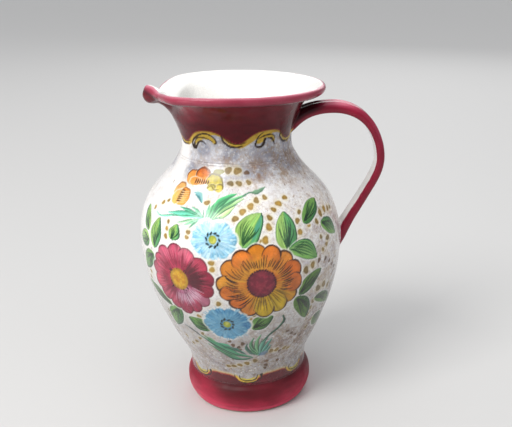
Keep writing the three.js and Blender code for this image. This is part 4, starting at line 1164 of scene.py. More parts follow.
def mouth_sections(th, n_out, n_bead, n_in):
    """Sections (cols x rows x 2) of the mouth at each angle, and the v of its rows."""
    reg = np.array(MOUTH_OUTER + RIM_BEAD)
    tip = np.array(SPOUT_OUTER + SPOUT_BEAD)
    deg = np.degrees((th - (-math.pi / 2) + math.pi) % (2 * math.pi) - math.pi)
    R, Z = crest_at(np.abs(deg))
    # the beak was pulled by hand: its near lip stands a little higher than its far lip
    twist = 2.6 * np.exp(-(((deg - 9.0) / 8.0) ** 2)) - 2.8 * np.exp(-(((deg + 10.0) / 7.0) ** 2))
    lip = np.exp(-((deg / 9.5) ** 2))
    out = []
    v_rows = None
    for j in range(len(th)):
        w = smooth((reg[:, 1] - 338) / 26)
        r = reg[:, 0] + w * (R[j] - 94.5)
        z = reg[:, 1] + w * (Z[j] - 370)
        pts = np.stack([r, z], 1) * (1 - lip[j]) + tip * lip[j]
        pts[:, 1] += twist[j] * smooth((pts[:, 1] - 340) / 22)
        dense = spline(pts, 400)
        _, t = chord(dense)
        _, tk = chord(pts)
        k_bead = 9 / (len(pts) - 1)
        # the same rows on every section: even on the flare, closer on the bead
        d_bead = np.interp(tk[9] / tk[-1], [0, 1], [0, t[-1]])
        q = np.concatenate([np.linspace(0, d_bead, n_out, endpoint=False), np.linspace(d_bead, t[-1], n_bead)])
        o = np.stack([np.interp(q, t, dense[:, 0]), np.interp(q, t, dense[:, 1])], 1)
        inn = offset(dense[: int(400 * tk[8] / tk[-1])], MOUTH_WALL)[::-1]
        _, ti = chord(inn)
        join = np.concatenate([dense[-1:], inn])
        _, tj = chord(join)
        q = np.linspace(0, tj[-1], n_in + 1)[1:]
        i_ = np.stack([np.interp(q, tj, join[:, 0]), np.interp(q, tj, join[:, 1])], 1)
        i_[-1] = (63.1 - MOUTH_WALL, 302.0)
        # round the turn from the bead into the throat
        sec = np.concatenate([o, i_])
        for _k in range(3):
            a, b = len(o) - 6, len(o) + 8
            sec[a:b] = 0.25 * sec[a - 1 : b - 1] + 0.5 * sec[a:b] + 0.25 * sec[a + 1 : b + 1]
        out.append(sec)
        if v_rows is None or deg[j] > 170:
            _, tv = chord(o)
            v_rows = v_at(302) + tv
    return np.array(out), v_rows


def build_mouth():
    a = np.linspace(0, 2 * math.pi, 560, endpoint=False)
    th = a - 0.55 * np.sin(a) - math.pi / 2  # crowded towards the spout
    n_out, n_bead, n_in = 64, 46, 40
    sec, v_rows = mouth_sections(th, n_out, n_bead, n_in)
    rows = sec.shape[1]
    cols = len(th)
    r, z = sec[:, :, 0].T, sec[:, :, 1].T
    g = turned(th[None, :] + 0 * r, r, z).reshape(-1, 3)
    thf = np.tile(th, rows)
    d = uneven(thf, g[:, 2], g) * ss(303, 312, g[:, 2])
    fade = uneven(thf, g[:, 2], g) * (1 - ss(303, 312, g[:, 2]))
    rad = np.stack([np.sin(thf), -np.cos(thf), 0 * thf], 1)
    g = g + rad * (d + fade)[:, None]
    no = n_out + n_bead
    u = np.tile(th * R0, no)
    v = np.repeat(v_rows[:no], cols)
    p = g[: no * cols]
    P = decorate(u, v, p)
    # the bead is wiped to a pinker, thinner glaze, and breaks to white over its crest; its lower side carries painted
    # shade and a band below the crest a painted highlight
    arc = np.concatenate([np.zeros((cols, 1)), np.cumsum(np.hypot(*np.moveaxis(np.diff(sec[:, :no], axis=1), 2, 0)), 1)], 1)
    back = (arc[:, -1:] - arc).T.ravel()  # distance down from the end of the painted side
    degs = np.degrees((thf[: no * cols] + math.pi / 2 + math.pi) % (2 * math.pi) - math.pi)
    beak = np.exp(-((degs / 13.0) ** 2))
    band = 18.4 - 5.0 * beak
    pink = ss(band + 0.6, band - 1.4, back)
    tone = np.clip(0.5 + 0.5 * fbm(p, 18.0, 141, 2), 0, 1)[:, None]
    bead = rgb(170, 76, 94) * (1 - tone) + rgb(138, 44, 64) * tone
    # painted shade: the lower side of the bead darkened
    under = ss(band - 6.0, band - 0.5, back)[:, None]
    bead = bead * (1 - 0.50 * under)
    P.c = P.c * (1 - pink[:, None]) + bead * pink[:, None]
    P.bare *= 1 - pink
    white = ss(5.6, 4.4, back + 0.7 * noise(p, 12.0, 143) + 0.4 * noise(p, 4.0, 144))
    # painted highlight: a pale pink band on the bead just below its white crest
    painted_rim_highlight = ss(9.5, 5.0, back)[:, None]
    P.c = P.c * (1 - 0.66 * painted_rim_highlight) + rgb(228, 166, 181) * 0.66 * painted_rim_highlight
    P.c = P.c * (1 - white[:, None]) + WHITE * white[:, None]
    ni = (rows - no) * cols
    paint = np.concatenate([P.c, np.tile(WHITE, (ni, 1))])
    bare = np.concatenate([P.bare * 0, np.zeros(ni)])
    bare[: no * cols] = P.bare
    relief = np.concatenate([P.relief * 0.5, np.zeros(ni)])
    faces = grid_faces(rows, cols, True, True)
    return make_mesh("flared_mouth_glazed", g, faces, {"paint": paint, "bare": bare, "relief": relief, "rough": np.zeros(len(g))})


# ----------------------------------------------------------------- the handle
STRAP = [
    (58.0, 329.8, 1.42, 1.38), (66.0, 335.8, 1.28, 1.28), (76.0, 341.1, 1.14, 1.20), (89.0, 344.7, 1.02, 1.16),
    (102.0, 346.0, 1.00, 1.16), (114.0, 345.4, 1.00, 1.15), (125.6, 342.4, 1.00, 1.11), (137.0, 336.4, 1.00, 1.05),
    (146.8, 327.0, 1.00, 1.00), (154.1, 315.0, 1.00, 0.97), (158.4, 302.2, 1.00, 0.96), (159.6, 290.0, 1.00, 0.96),
    (157.7, 279.3, 1.00, 0.96), (153.1, 268.6, 1.00, 0.97), (147.1, 258.0, 1.00, 0.98), (140.5, 246.9, 1.00, 1.00),
    (134.0, 236.3, 1.02, 1.02), (127.5, 226.0, 1.06, 1.06), (121.1, 215.0, 1.14, 1.18), (114.9, 204.5, 1.24, 1.36),
    (108.0, 194.0, 1.30, 1.50),
]
STRAP_W, STRAP_T = 25.0, 10.0
_sp = np.array(STRAP)
_st = np.concatenate([[0], np.cumsum(np.hypot(*np.diff(_sp[:, :2], axis=0).T))])
STRAP_LEN = _st[-1]


def strap_ring(n):
    """Unit section (y, out) of the strap: flat inner face, two soft ridges outside."""
    ctrl = []
    def bez(p0, p1, p2, p3, m=40):
        t = np.linspace(0, 1, m, endpoint=False)[:, None]
        p0, p1, p2, p3 = map(np.array, (p0, p1, p2, p3))
        ctrl.append((1 - t) ** 3 * p0 + 3 * (1 - t) ** 2 * t * p1 + 3 * (1 - t) * t**2 * p2 + t**3 * p3)
    bez((1, -0.25), (1, 0.75), (0.72, 1), (0.5, 1))
    bez((0.5, 1), (0.3, 1), (0.2, 0.8), (0, 0.8))
    bez((0, 0.8), (-0.2, 0.8), (-0.3, 1), (-0.5, 1))
    bez((-0.5, 1), (-0.72, 1), (-1, 0.75), (-1, -0.25))
    bez((-1, -0.25), (-1, -0.9), (-0.8, -1), (-0.55, -1))
    bez((-0.55, -1), (-0.2, -0.97), (0.2, -0.97), (0.55, -1))
    bez((0.55, -1), (0.8, -1), (1, -0.9), (1, -0.25))
    c = np.concatenate(ctrl)
    c = np.concatenate([c, c[:1]])
    q = c * np.array([STRAP_W / 2, STRAP_T / 2])
    s = np.concatenate([[0], np.cumsum(np.hypot(*np.diff(q, axis=0).T))])
    e = np.linspace(0, s[-1], n, endpoint=False)
    return np.stack([np.interp(e, s, q[:, 0]), np.interp(e, s, q[:, 1])], 1)


def strap_frame(s):
    """Centre, tangent and size factors at path lengths s."""
    x, z = pchip_free(_st, _sp[:, 0], s), pchip_free(_st, _sp[:, 1], s)
    x2, z2 = pchip_free(_st, _sp[:, 0], s + 0.05), pchip_free(_st, _sp[:, 1], s + 0.05)
    tx, tz = (x2 - x) / 0.05, (z2 - z) / 0.05
    L = np.hypot(tx, tz)
    return x, z, tx / L, tz / L, pchip(_st, _sp[:, 2], s), pchip(_st, _sp[:, 3], s)


def strap_point(s, ring, grow=0.0):
    """Surface points of the strap: s (M), ring (N x 2) -> M x N x 3."""
    x, z, tx, tz, kw, kt = strap_frame(np.asarray(s, float))
    y = ring[None, :, 0] * (kw[:, None] + 2 * grow / STRAP_W)
    o = ring[None, :, 1] * (kt[:, None] + 2 * grow / STRAP_T)
    return np.stack([x[:, None] - tz[:, None] * o, y, z[:, None] + tx[:, None] * o], -1)


def wall_depth(p):
    """Distance outside the jug's outer wall, negative inside, measured level."""
    z = p[..., 2]
    r = np.interp(z, PZ, PR)
    return np.hypot(p[..., 0], p[..., 1]) - r


def strap_paint(p, q_out, y_rel, tips, seed, near=0.0, painted_highlight=0.0):
    """Crimson outside and on the edges, white on the flat inner face. Painted shade darkens it near
    the rim, and a painted highlight makes it paler and pinker over the arch."""
    t = np.clip(0.5 + 0.5 * fbm(p, 26.0, seed, 2), 0, 1)[:, None]
    c = rgb(146, 24, 52) * t + rgb(114, 10, 36) * (1 - t)
    ridge = ss(0.45, 1.0, q_out)[:, None]
    c = c * (1 - 0.35 * ridge) + rgb(184, 62, 90) * 0.35 * ridge
    c = c * (1 + 0.07 * noise(p * np.array([1, 3.0, 1]), 9.0, seed + 1)[:, None])
    pale = (painted_highlight * ss(-0.1, 0.9, q_out))[:, None]
    c = c * (1 - pale) + rgb(220, 132, 150) * pale
    # painted shade: darker near the rim, most on the outer face
    c = c * (1 - near * ss(-0.6, 0.3, q_out))[:, None]
    wob = 0.07 * noise(p, 13.0, seed + 2) + 0.04 * noise(p, 4.0, seed + 3)
    face = ss(0.80, 0.66, np.abs(y_rel) + wob) * (q_out < -0.6) * tips
    c = c * (1 - face[:, None]) + WHITE * 0.985 * face[:, None]
    edge = np.exp(-(((np.abs(y_rel) + wob - 0.75) / 0.06) ** 2)) * (q_out < -0.6) * tips
    c = c * (1 - 0.35 * edge[:, None]) + rgb(226, 168, 180) * 0.35 * edge[:, None]
    return np.clip(c, 0, 1)


def build_handle():
    n = 96
    ring = strap_ring(n)
    # both ends follow the curve of the wall and stop half way through it
    s0, s1 = root_line(0, ring, 2.8), root_line(1, ring, 3.2)
    s = s0[None, :] + (s1 - s0)[None, :] * np.linspace(0, 1, 420)[:, None]
    g = np.stack([strap_point(s[:, j], ring[j : j + 1])[:, 0] for j in range(n)], 1)
    # hand-pulled: slightly uneven width and edge
    m = len(s)
    wob = 1 + 0.012 * np.sin(s / 31.0) + 0.008 * np.sin(s / 11.0 + 1)
    g[..., 1] *= wob
    flat = g.reshape(-1, 3)
    nv = 0.10 * noise(flat, 14.0, 151) + 0.05 * noise(flat, 6.0, 152)
    ctr = np.repeat(g.mean(1), n, axis=0)
    dirn = flat - ctr
    dirn /= np.linalg.norm(dirn, axis=1)[:, None] + 1e-9
    flat = flat + dirn * nv[:, None]
    q_out = np.tile(ring[:, 1] / (STRAP_T / 2), m)
    sf = s.ravel()
    tips = ss(40, 62, sf)  # the root under the rim is crimson all round
    y_rel = np.tile(ring[:, 0] / (STRAP_W / 2), m)
    # painted shade under the rim on the root of the strap
    near = 0.62 * ss(46, 26, sf)
    # painted highlight over the arch, and a smaller one lower on the bend
    painted_highlight = 0.68 * np.exp(-(((sf - 58) / 17.0) ** 2)) + 0.26 * np.exp(-(((sf - 108) / 13.0) ** 2))
    paint = strap_paint(flat, q_out, y_rel, tips, 161, near, painted_highlight)
    faces = grid_faces(m, n, False, True)
    # rounded caps buried in the walls
    verts = np.concatenate([flat, ctr[:1], ctr[-1:]])
    caps = []
    for j in range(0, n, 2):
        caps.append((m * n, (j + 2) % n, (j + 1) % n, j))
        b = (m - 1) * n
        caps.append((m * n + 1, b + j, b + (j + 1) % n, b + (j + 2) % n))
    faces = np.concatenate([faces, np.array(caps)])
    paint = np.concatenate([paint, paint[:1], paint[-1:]])
    k = len(verts)
    ob = make_mesh("strap_handle_glazed", verts, faces, {
        "paint": paint, "bare": np.zeros(k), "relief": np.zeros(k), "rough": np.zeros(k)})
    return ob


def root_line(end, ring, depth):
    """Path length at which each line of the strap is the given depth inside the wall."""
    s = np.linspace(0, STRAP_LEN, 3000)
    half = s < STRAP_LEN / 2
    run = s[half][::-1] if end == 0 else s[~half]
    d = wall_depth(strap_point(run, ring))
    out = np.zeros(len(ring))
    for j in range(len(ring)):
        ins = np.nonzero(d[:, j] < -depth)[0]
        out[j] = run[ins[0]] if len(ins) else run[-1]
    return out


def build_fillet(name, end, reach_strap, reach_wall, seed):
    """The slip collar where the strap meets the wall: a smooth concave skirt."""
    n = 120
    ring = strap_ring(n)
    s = np.linspace(0, STRAP_LEN, 3000)
    half = s < STRAP_LEN / 2
    ss_ = s[half][::-1] if end == 0 else s[~half]
    g = strap_point(ss_, ring)
    d = wall_depth(g)
    rows = []
    hit_s = np.zeros(n)
    for j in range(n):
        ins = np.nonzero(d[:, j] < 0.0)[0]
        k = ins[0] if len(ins) else len(ss_) - 1
        hit_s[j] = ss_[k]
    # smooth the meeting line round the section
    for _k in range(12):
        hit_s = 0.25 * np.roll(hit_s, 1) + 0.5 * hit_s + 0.25 * np.roll(hit_s, -1)
    hit_s = np.clip(hit_s, 0, STRAP_LEN)
    sgn = 1 if end == 0 else -1
    B = np.array([strap_point([hit_s[j]], ring[j : j + 1])[0, 0] for j in range(n)])
    q_out = ring[:, 1] / (STRAP_T / 2)
    ra = reach_strap(q_out)
    A = np.array([strap_point([np.clip(hit_s[j] + sgn * ra[j], 0, STRAP_LEN)], ring[j : j + 1])[0, 0] for j in range(n)])
    cen = B.mean(0)
    # spread along the wall, away from the middle of the joint
    zc = B[:, 2] - cen[2]
    yc = B[:, 1]
    v_b = np.interp(B[:, 2], PZ, PS)
    v_c = np.interp(cen[2], PZ, PS)
    dv, dy = v_b - v_c, yc
    L = np.hypot(dv, dy) + 1e-6
    rw = reach_wall(q_out)
    v2 = v_b + rw * dv / L
    y2 = yc + rw * dy / L
    if end == 1:
        # the tail of the strap is thumbed out into one rounded tongue
        side = np.where(v2 > v_c, (v2 - v_c).max(), (v_c - v2).max() + 1.0)
        wide = np.abs(y2).max()
        fit = (np.abs((v2 - v_c) / side) ** 2.3 + np.abs(y2 / wide) ** 2.3) ** (1 / 2.3) + 1e-6
        v2, y2 = v_c + (v2 - v_c) / fit, y2 / fit
    # the slip is wiped round with a finger, which leaves no corners
    for _k in range(40 if end == 1 else 24):
        v2 = 0.25 * np.roll(v2, 1) + 0.5 * v2 + 0.25 * np.roll(v2, -1)
        y2 = 0.25 * np.roll(y2, 1) + 0.5 * y2 + 0.25 * np.roll(y2, -1)
    r2 = radius_at(v2)
    C = np.stack([np.sqrt(np.maximum(r2**2 - y2**2, 1)), y2, height_at(v2)], 1)
    def unev(p):
        th = np.arctan2(p[:, 0], -p[:, 1])
        return uneven(th, p[:, 2], p)
    C += np.stack([C[:, 0] / r2, C[:, 1] / r2, 0 * r2], 1) * (unev(C) + 0.02)[:, None]
    steps = 22
    outs = []
    tt = np.linspace(0, 1, steps)
    for t in tt:
        outs.append((1 - t) ** 2 * A + 2 * t * (1 - t) * B + t**2 * C)
    top = np.array(outs)
    # the skirt stays just proud of the curved wall all the way to its feather edge
    r_w = np.interp(top[..., 2], PZ, PR) + unev(top.reshape(-1, 3)).reshape(top.shape[:2])
    r_now = np.hypot(top[..., 0], top[..., 1])
    need = r_w + 0.03 + 0.9 * ((1 - tt) ** 1.2)[:, None]
    lift = np.maximum(1.0, need / r_now)
    top[..., 0] *= lift
    top[..., 1] *= lift
    # a buried underside closes the collar
    Ai = A + (B.mean(0) - A) * 0.10
    Ci = C - np.stack([C[:, 0] / r2, C[:, 1] / r2, 0 * r2], 1) * 1.6
    Bi = B + (cen - B) * 0.10 - np.array([1.5, 0, 0])
    under = np.array([Ci, (Ci + Bi) / 2, Bi, (Bi + Ai) / 2, Ai])
    g = np.concatenate([top, under])
    m = len(g)
    flat = g.reshape(-1, 3)
    return g, top, tt, q_out, B, C, ring, m, n, v2, y2


def finish_fillet(name, end, pack, seed):
    g, top, tt, q_out, B, C, ring, m, n, v2, y2 = pack
    flat = g.reshape(-1, 3)
    T = np.concatenate([np.repeat(tt, n), np.repeat([1, 0.7, 0.5, 0.3, 0], n)])
    Q = np.tile(q_out, m)
    th = np.arctan2(flat[:, 0], -flat[:, 1])
    vv = np.interp(flat[:, 2], PZ, PS)
    P = decorate(th * R0, vv, flat)
    tips = np.ones(len(flat)) if end == 1 else np.zeros(len(flat))
    # painted shade on the upper collar, as on the strap's root
    near = 0.62 if end == 0 else 0.0
    c = strap_paint(flat, Q, np.tile(ring[:, 0] / (STRAP_W / 2), m), tips, seed, near)
    if end == 1:
        # crimson runs on down the tail; at the sides and above it gives way to the painted wall
        tail = ss(0.2, 0.8, Q)
        a = ss(0.30 + 0.80 * tail, 0.55 + 0.80 * tail, T + 0.05 * noise(flat, 5.0, seed + 9))
        col = c * (1 - a[:, None]) + P.c * a[:, None]
        bare = P.bare * a
        relief = P.relief * a
    else:
        col = c * (1 - ss(0.3, 1.0, T)[:, None]) + P.c * ss(0.3, 1.0, T)[:, None]
        bare = P.bare * ss(0.3, 1.0, T)
        relief = P.relief * ss(0.3, 1.0, T)
    faces = grid_faces(m, n, True, True, flip=(end == 0))
    return make_mesh(name, flat, faces, {"paint": col, "bare": bare, "relief": relief, "rough": np.zeros(len(flat))})


# ------------------------------------------------------------------ materials
def glaze(name, rough=0.14, spot=1.0, coat=0.5, spec=0.5, wall=1.0):
    """Painted, glossy tin glaze. The paint attribute gives the brushwork; the nodes add the
    sponged speckle of the bare ground, pigment grain, pooled gloss and orange peel."""
    m = bpy.data.materials.new(name)
    m.use_nodes = True
    nt = m.node_tree
    nt.nodes.clear()
    N, Lk = nt.nodes, nt.links

    def node(kind, **kw):
        x = N.new(kind)
        for a, b in kw.items():
            setattr(x, a, b)
        return x

    def link(a, b):
        Lk.new(a, b)

    out = node("ShaderNodeOutputMaterial")
    bs = node("ShaderNodeBsdfPrincipled")
    link(bs.outputs["BSDF"], out.inputs["Surface"])
    tc = node("ShaderNodeTexCoord")
    pos = tc.outputs["Object"]

    def attr(key):
        a = node("ShaderNodeAttribute")
        a.attribute_name = key
        return a

    def tex(scale, detail=2.0, rough_=0.5, dist=0.0):
        t = node("ShaderNodeTexNoise")
        t.inputs["Scale"].default_value = scale
        t.inputs["Detail"].default_value = detail
        t.inputs["Roughness"].default_value = rough_
        t.inputs["Distortion"].default_value = dist
        link(pos, t.inputs["Vector"])
        return t.outputs["Fac"]

    def math_(op, a, b=None, c=None, clamp=False):
        x = node("ShaderNodeMath", operation=op, use_clamp=clamp)
        for k, val in enumerate((a, b, c)):
            if val is None:
                continue
            if isinstance(val, (int, float)):
                x.inputs[k].default_value = val
            else:
                link(val, x.inputs[k])
        return x.outputs[0]

    def ramp(val, lo, hi, a=0.0, b=1.0):
        x = node("ShaderNodeMapRange", interpolation_type="SMOOTHSTEP")
        link(val, x.inputs["Value"])
        x.inputs["From Min"].default_value = lo
        x.inputs["From Max"].default_value = hi
        x.inputs["To Min"].default_value = a
        x.inputs["To Max"].default_value = b
        return x.outputs["Result"]

    def mix(fac, a, b, blend="MIX"):
        x = node("ShaderNodeMix", data_type="RGBA", blend_type=blend)
        if isinstance(fac, (int, float)):
            x.inputs[0].default_value = fac
        else:
            link(fac, x.inputs[0])
        for k, val in ((6, a), (7, b)):
            if isinstance(val, tuple):
                x.inputs[k].default_value = (*val, 1.0)
            else:
                link(val, x.inputs[k])
        return x.outputs[2]

    paint = attr("paint").outputs["Color"]
    bare = attr("bare").outputs["Fac"]
    relief = attr("relief").outputs["Fac"]
    unglazed = attr("rough").outputs["Fac"]
    lin = lambda c: tuple(float(q) for q in to_linear(c))

    fine = tex(620.0, 3.0, 0.62)
    mid = tex(250.0, 3.0, 0.6, 0.4)
    col = paint
    # sponged speckle, only where the ground is bare
    vor = node("ShaderNodeTexVoronoi", feature="DISTANCE_TO_EDGE")
    vor.inputs["Scale"].default_value = 330.0
    vor.inputs["Randomness"].default_value = 1.0
    warp = node("ShaderNodeTexNoise")
    warp.inputs["Scale"].default_value = 260.0
    link(pos, warp.inputs["Vector"])
    vm = node("ShaderNodeVectorMath", operation="MULTIPLY_ADD")
    link(warp.outputs["Color"], vm.inputs[0])
    vm.inputs[1].default_value = (0.0045, 0.0045, 0.0045)
    link(pos, vm.inputs[2])
    link(vm.outputs[0], vor.inputs["Vector"])
    cell = ramp(vor.outputs["Distance"], 0.02, 0.16, 1.0, 0.0)
    net = math_("MULTIPLY", cell, ramp(mid, 0.42, 0.60))
    col = mix(math_("MULTIPLY", math_("MULTIPLY", net, bare), 0.34 * spot), col, lin(rgb(150, 140, 156)))
    tan = ramp(tex(420.0, 2.0, 0.5, 0.8), 0.56, 0.70)
    col = mix(math_("MULTIPLY", math_("MULTIPLY", tan, bare), 0.50 * spot), col, lin(rgb(166, 136, 104)))
    pale = ramp(tex(380.0, 2.0, 0.5), 0.58, 0.74)
    col = mix(math_("MULTIPLY", math_("MULTIPLY", pale, bare), 0.45 * spot), col, lin(rgb(246, 244, 242)))
    # pigment grain everywhere
    grain = ramp(fine, 0.25, 0.78, 0.86, 1.12)
    gcol = node("ShaderNodeCombineColor")
    for k in range(3):
        link(grain, gcol.inputs[k])
    col = mix(0.55, col, mix(1.0, col, gcol.outputs[0], "MULTIPLY"))
    link(col, bs.inputs["Base Color"])

    gloss = ramp(tex(38.0, 3.0, 0.55), 0.3, 0.7, rough * 0.75, rough * 1.5)
    gl = math_("ADD", gloss, math_("MULTIPLY", relief, 0.06))
    rg = node("ShaderNodeMix", data_type="FLOAT")
    link(unglazed, rg.inputs[0])
    link(gl, rg.inputs[2])
    rg.inputs[3].default_value = 0.86
    link(rg.outputs[0], bs.inputs["Roughness"])
    bs.inputs["IOR"].default_value = 1.52
    bs.inputs["Specular IOR Level"].default_value = spec
    cw = node("ShaderNodeMix", data_type="FLOAT")
    link(unglazed, cw.inputs[0])
    cw.inputs[2].default_value = coat
    cw.inputs[3].default_value = 0.0
    link(cw.outputs[0], bs.inputs["Coat Weight"])
    bs.inputs["Coat Roughness"].default_value = 0.13

    # relief: orange peel, sponged pebble, brush strokes
    peel = tex(120.0, 2.0, 0.5)
    hgt = math_("MULTIPLY", peel, 0.75 * wall)
    hgt = math_("ADD", hgt, math_("MULTIPLY", math_("MULTIPLY", mid, bare), 0.30))
    hgt = math_("ADD", hgt, math_("MULTIPLY", fine, 0.05))
    hgt = math_("ADD", hgt, math_("MULTIPLY", relief, 0.35))
    bump = node("ShaderNodeBump")
    bump.inputs["Strength"].default_value = 0.55
    bump.inputs["Distance"].default_value = 0.0006
    link(hgt, bump.inputs["Height"])
    link(bump.outputs["Normal"], bs.inputs["Normal"])
    return m


# ---------------------------------------------------------------------- build
th_body = angles(math.radians(82), 410, 250)
v0, v1 = v_at(42), v_at(300)
rows_body = np.linspace(v0, v1, 318)
outer = np.stack([radius_at(rows_body), height_at(rows_body)], 1)
inn = offset(spline(BELLY_OUTER, 60), BELLY_WALL)[::-1]
inn[0] = (64.2 - MOUTH_WALL, 300.0)
inn[-1] = (72.7 - BELLY_WALL, 42.0)
inn = inn[::2] if (len(inn) % 2) else np.concatenate([inn[::2], inn[-1:]])
body, body_paint = shell("belly_glazed", th_body, outer, inn, rows_body)

# foot: wall, hollow inside, flat unglazed underside
th_foot = np.linspace(-math.pi, math.pi, 480, endpoint=False)
rows_foot = np.linspace(v_at(0) + 0.0, v_at(40), 60)
fo = np.stack([radius_at(rows_foot), height_at(rows_foot)], 1)
fi = offset(spline(FOOT_OUTER[2:], 24), BELLY_WALL)[::-1]
fi[0] = (72.6 - BELLY_WALL, 40.0)
bottom_in = np.array([(66.5, 9.6), (60.0, 8.0), (40.0, 8.0), (15.0, 8.0), (0.4, 8.0)])
bottom_out = np.array([(0.4, 0.5), (15.0, 0.5), (40.0, 0.5), (62.0, 0.5), (64.0, 0.45), (65.2, 0.1), (66.0, 0.0), (68.5, 0.0), (70.0, 0.05)])


def build_foot():
    loop = np.concatenate([fo, fi, bottom_in, bottom_out])
    cols = len(th_foot)
    g = ring_points(th_foot, loop).reshape(-1, 3)
    thf = np.tile(th_foot, len(loop))
    zf = np.repeat(loop[:, 1], cols)
    rr = np.repeat(loop[:, 0], cols)
    d = uneven(thf, zf, g) * ss(30, 64, rr) * ss(0.0, 4.0, zf)
    d = np.where(zf < 4.0, np.minimum(d, 0.3), d)
    d = d - 0.45 * np.exp(-(((zf - 7.4) / 1.3) ** 2)) * (rr > 70)  # a turned line above the edge
    rad = np.stack([np.sin(thf), -np.cos(thf), 0 * thf], 1)
    g = g + rad * d[:, None]
    no = len(fo) * cols
    P = decorate(np.tile(th_foot * R0, len(fo)), np.repeat(rows_foot, cols), g[:no])
    # the glaze is wiped back off the very edge of the resting ring
    wipe = ss(2.0, 0.9, zf[:no] + 0.5 * noise(g[:no], 9.0, 171))
    # painted highlight: paler crimson below the turned line, along the lower edge
    lip = (ss(8.4, 6.8, zf[:no]) * 0.45)[:, None]
    c = P.c * (1 - lip) + rgb(222, 96, 122) * lip
    c = c * (1 - wipe[:, None]) + BISQUE * 0.8 * wipe[:, None]
    n_in = (len(fi) + len(bottom_in)) * cols
    n_bot = len(bottom_out) * cols
    gb = g[-n_bot:]
    bis = BISQUE * (1 + 0.06 * fbm(gb, 12.0, 173, 2)[:, None])
    paint = np.concatenate([c, np.tile(WHITE, (n_in, 1)), bis])
    rough = np.concatenate([wipe, np.zeros(n_in), np.ones(n_bot)])
    bare = np.concatenate([P.bare, np.zeros(n_in + n_bot)])
    relief = np.concatenate([P.relief * 0.4, np.zeros(n_in + n_bot)])
    return make_mesh("pedestal_foot_glazed", g, grid_faces(len(loop), cols, True, True), {
        "paint": paint, "bare": bare, "relief": relief, "rough": rough})


foot = build_foot()


def slip_ring(name, z0, z1, n_rows, wall0, wall1, th):
    rows = np.linspace(v_at(z0), v_at(z1), n_rows)
    o = np.stack([radius_at(rows), height_at(rows)], 1)
    i_ = np.array([(o[-1, 0] - wall1, z1), ((o[-1, 0] - wall1 + o[0, 0] - wall0) / 2, (z0 + z1) / 2), (o[0, 0] - wall0, z0)])
    return shell(name, th, o, i_, rows)[0]


foot_slip = slip_ring("foot_slip_ring", 40, 42, 5, BELLY_WALL, BELLY_WALL, th_foot)
neck_slip = slip_ring("neck_slip_ring", 300, 302, 5, MOUTH_WALL, MOUTH_WALL, th_body)
mouth = build_mouth()
handle = build_handle()
up = build_fillet("handle_upper_slip_collar", 0, lambda q: 6.0 + 0 * q, lambda q: 4.2 + 0 * q, 181)
upper = finish_fillet("handle_upper_slip_collar", 0, up, 181)
lo_ = build_fillet("handle_lower_slip_collar", 1, lambda q: 7.0 - 2.5 * (q > 0.2), lambda q: 5.0 + 5.0 * np.clip(q, 0, 1), 191)
lower = finish_fillet("handle_lower_slip_collar", 1, lo_, 191)

m_body = glaze("painted_body_glaze", 0.19, coat=0.30, spec=0.42)
m_foot = glaze("crimson_foot_glaze", 0.46, spot=0.9, coat=0.0, spec=0.22)
m_mouth = glaze("crimson_mouth_glaze", 0.16, coat=0.08, spec=0.15)
m_handle = glaze("crimson_handle_glaze", 0.15, coat=0.18, spec=0.22)
for ob, node_name, mat, slot in (
    (body, "belly", m_body, "painted_body_glaze"),
    (foot, "pedestal_foot", m_foot, "crimson_foot_glaze"),
    (foot_slip, "foot_slip_joint", m_body, "painted_body_glaze"),
    (neck_slip, "neck_slip_joint", m_body, "crimson_mouth_glaze"),
    (mouth, "flared_mouth", m_mouth, "crimson_mouth_glaze"),
    (handle, "strap_handle", m_handle, "crimson_handle_glaze"),
    (upper, "handle_upper_slip_joint", m_mouth, "crimson_mouth_glaze"),
    (lower, "handle_lower_slip_joint", m_handle, "crimson_handle_glaze"),
):
    ob.data.materials.append(mat)
    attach(ob, list(frame["bodies"])[0])
    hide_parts(node_name)

# ---------------------------------------------------------------------- stage
floor_mesh = bpy.data.meshes.new("floor")
# a wide round floor
prof = [(r, 0.0) for r in (0.35, 1.0, 2.0, 4.0, 8.0, 16.0, 30.0)]
SEG = 96
fv = [(0.0, 0.0, -0.0005)]
for r, z in prof:
    for k in range(SEG):
        a = 2 * math.pi * k / SEG
        fv.append((r * math.cos(a), r * math.sin(a), z - 0.0005))
ff = [(0, 1 + k, 1 + (k + 1) % SEG) for k in range(SEG)]
for j in range(len(prof) - 1):
    for k in range(SEG):
        a0, a1 = 1 + j * SEG + k, 1 + j * SEG + (k + 1) % SEG
        ff.append((a0, a0 + SEG, a1 + SEG, a1))
floor_mesh.from_pydata(fv, [], ff)
for pl in floor_mesh.polygons:
    pl.use_smooth = True
floor = bpy.data.objects.new("floor", floor_mesh)
bpy.context.scene.collection.objects.link(floor)
fm = bpy.data.materials.new("pale_floor")
fm.use_nodes = True
fb = fm.node_tree.nodes["Principled BSDF"]
fb.inputs["Roughness"].default_value = 0.6
tn = fm.node_tree.nodes.new("ShaderNodeTexNoise")
tn.inputs["Scale"].default_value = 3.0
cr = fm.node_tree.nodes.new("ShaderNodeValToRGB")
cr.color_ramp.elements[0].color = (0.56, 0.555, 0.55, 1)
cr.color_ramp.elements[1].color = (0.60, 0.595, 0.59, 1)
fm.node_tree.links.new(tn.outputs["Fac"], cr.inputs["Fac"])
fm.node_tree.links.new(cr.outputs["Color"], fb.inputs["Base Color"])
floor_mesh.materials.append(fm)

# ------------------------------------------------------------------ light
def area(name, loc, target, size, power, col=(1, 1, 1), size_y=None):
    d = bpy.data.lights.new(name, "AREA")
    d.energy = power
    d.color = col
    d.size = size
    if size_y:
        d.shape = "RECTANGLE"
        d.size_y = size_y
    o = bpy.data.objects.new(name, d)
    o.location = loc
    o.visible_camera = False
    o.rotation_euler = (Vector(target) - Vector(loc)).to_track_quat("-Z", "Y").to_euler()
    bpy.context.scene.collection.objects.link(o)
    return o


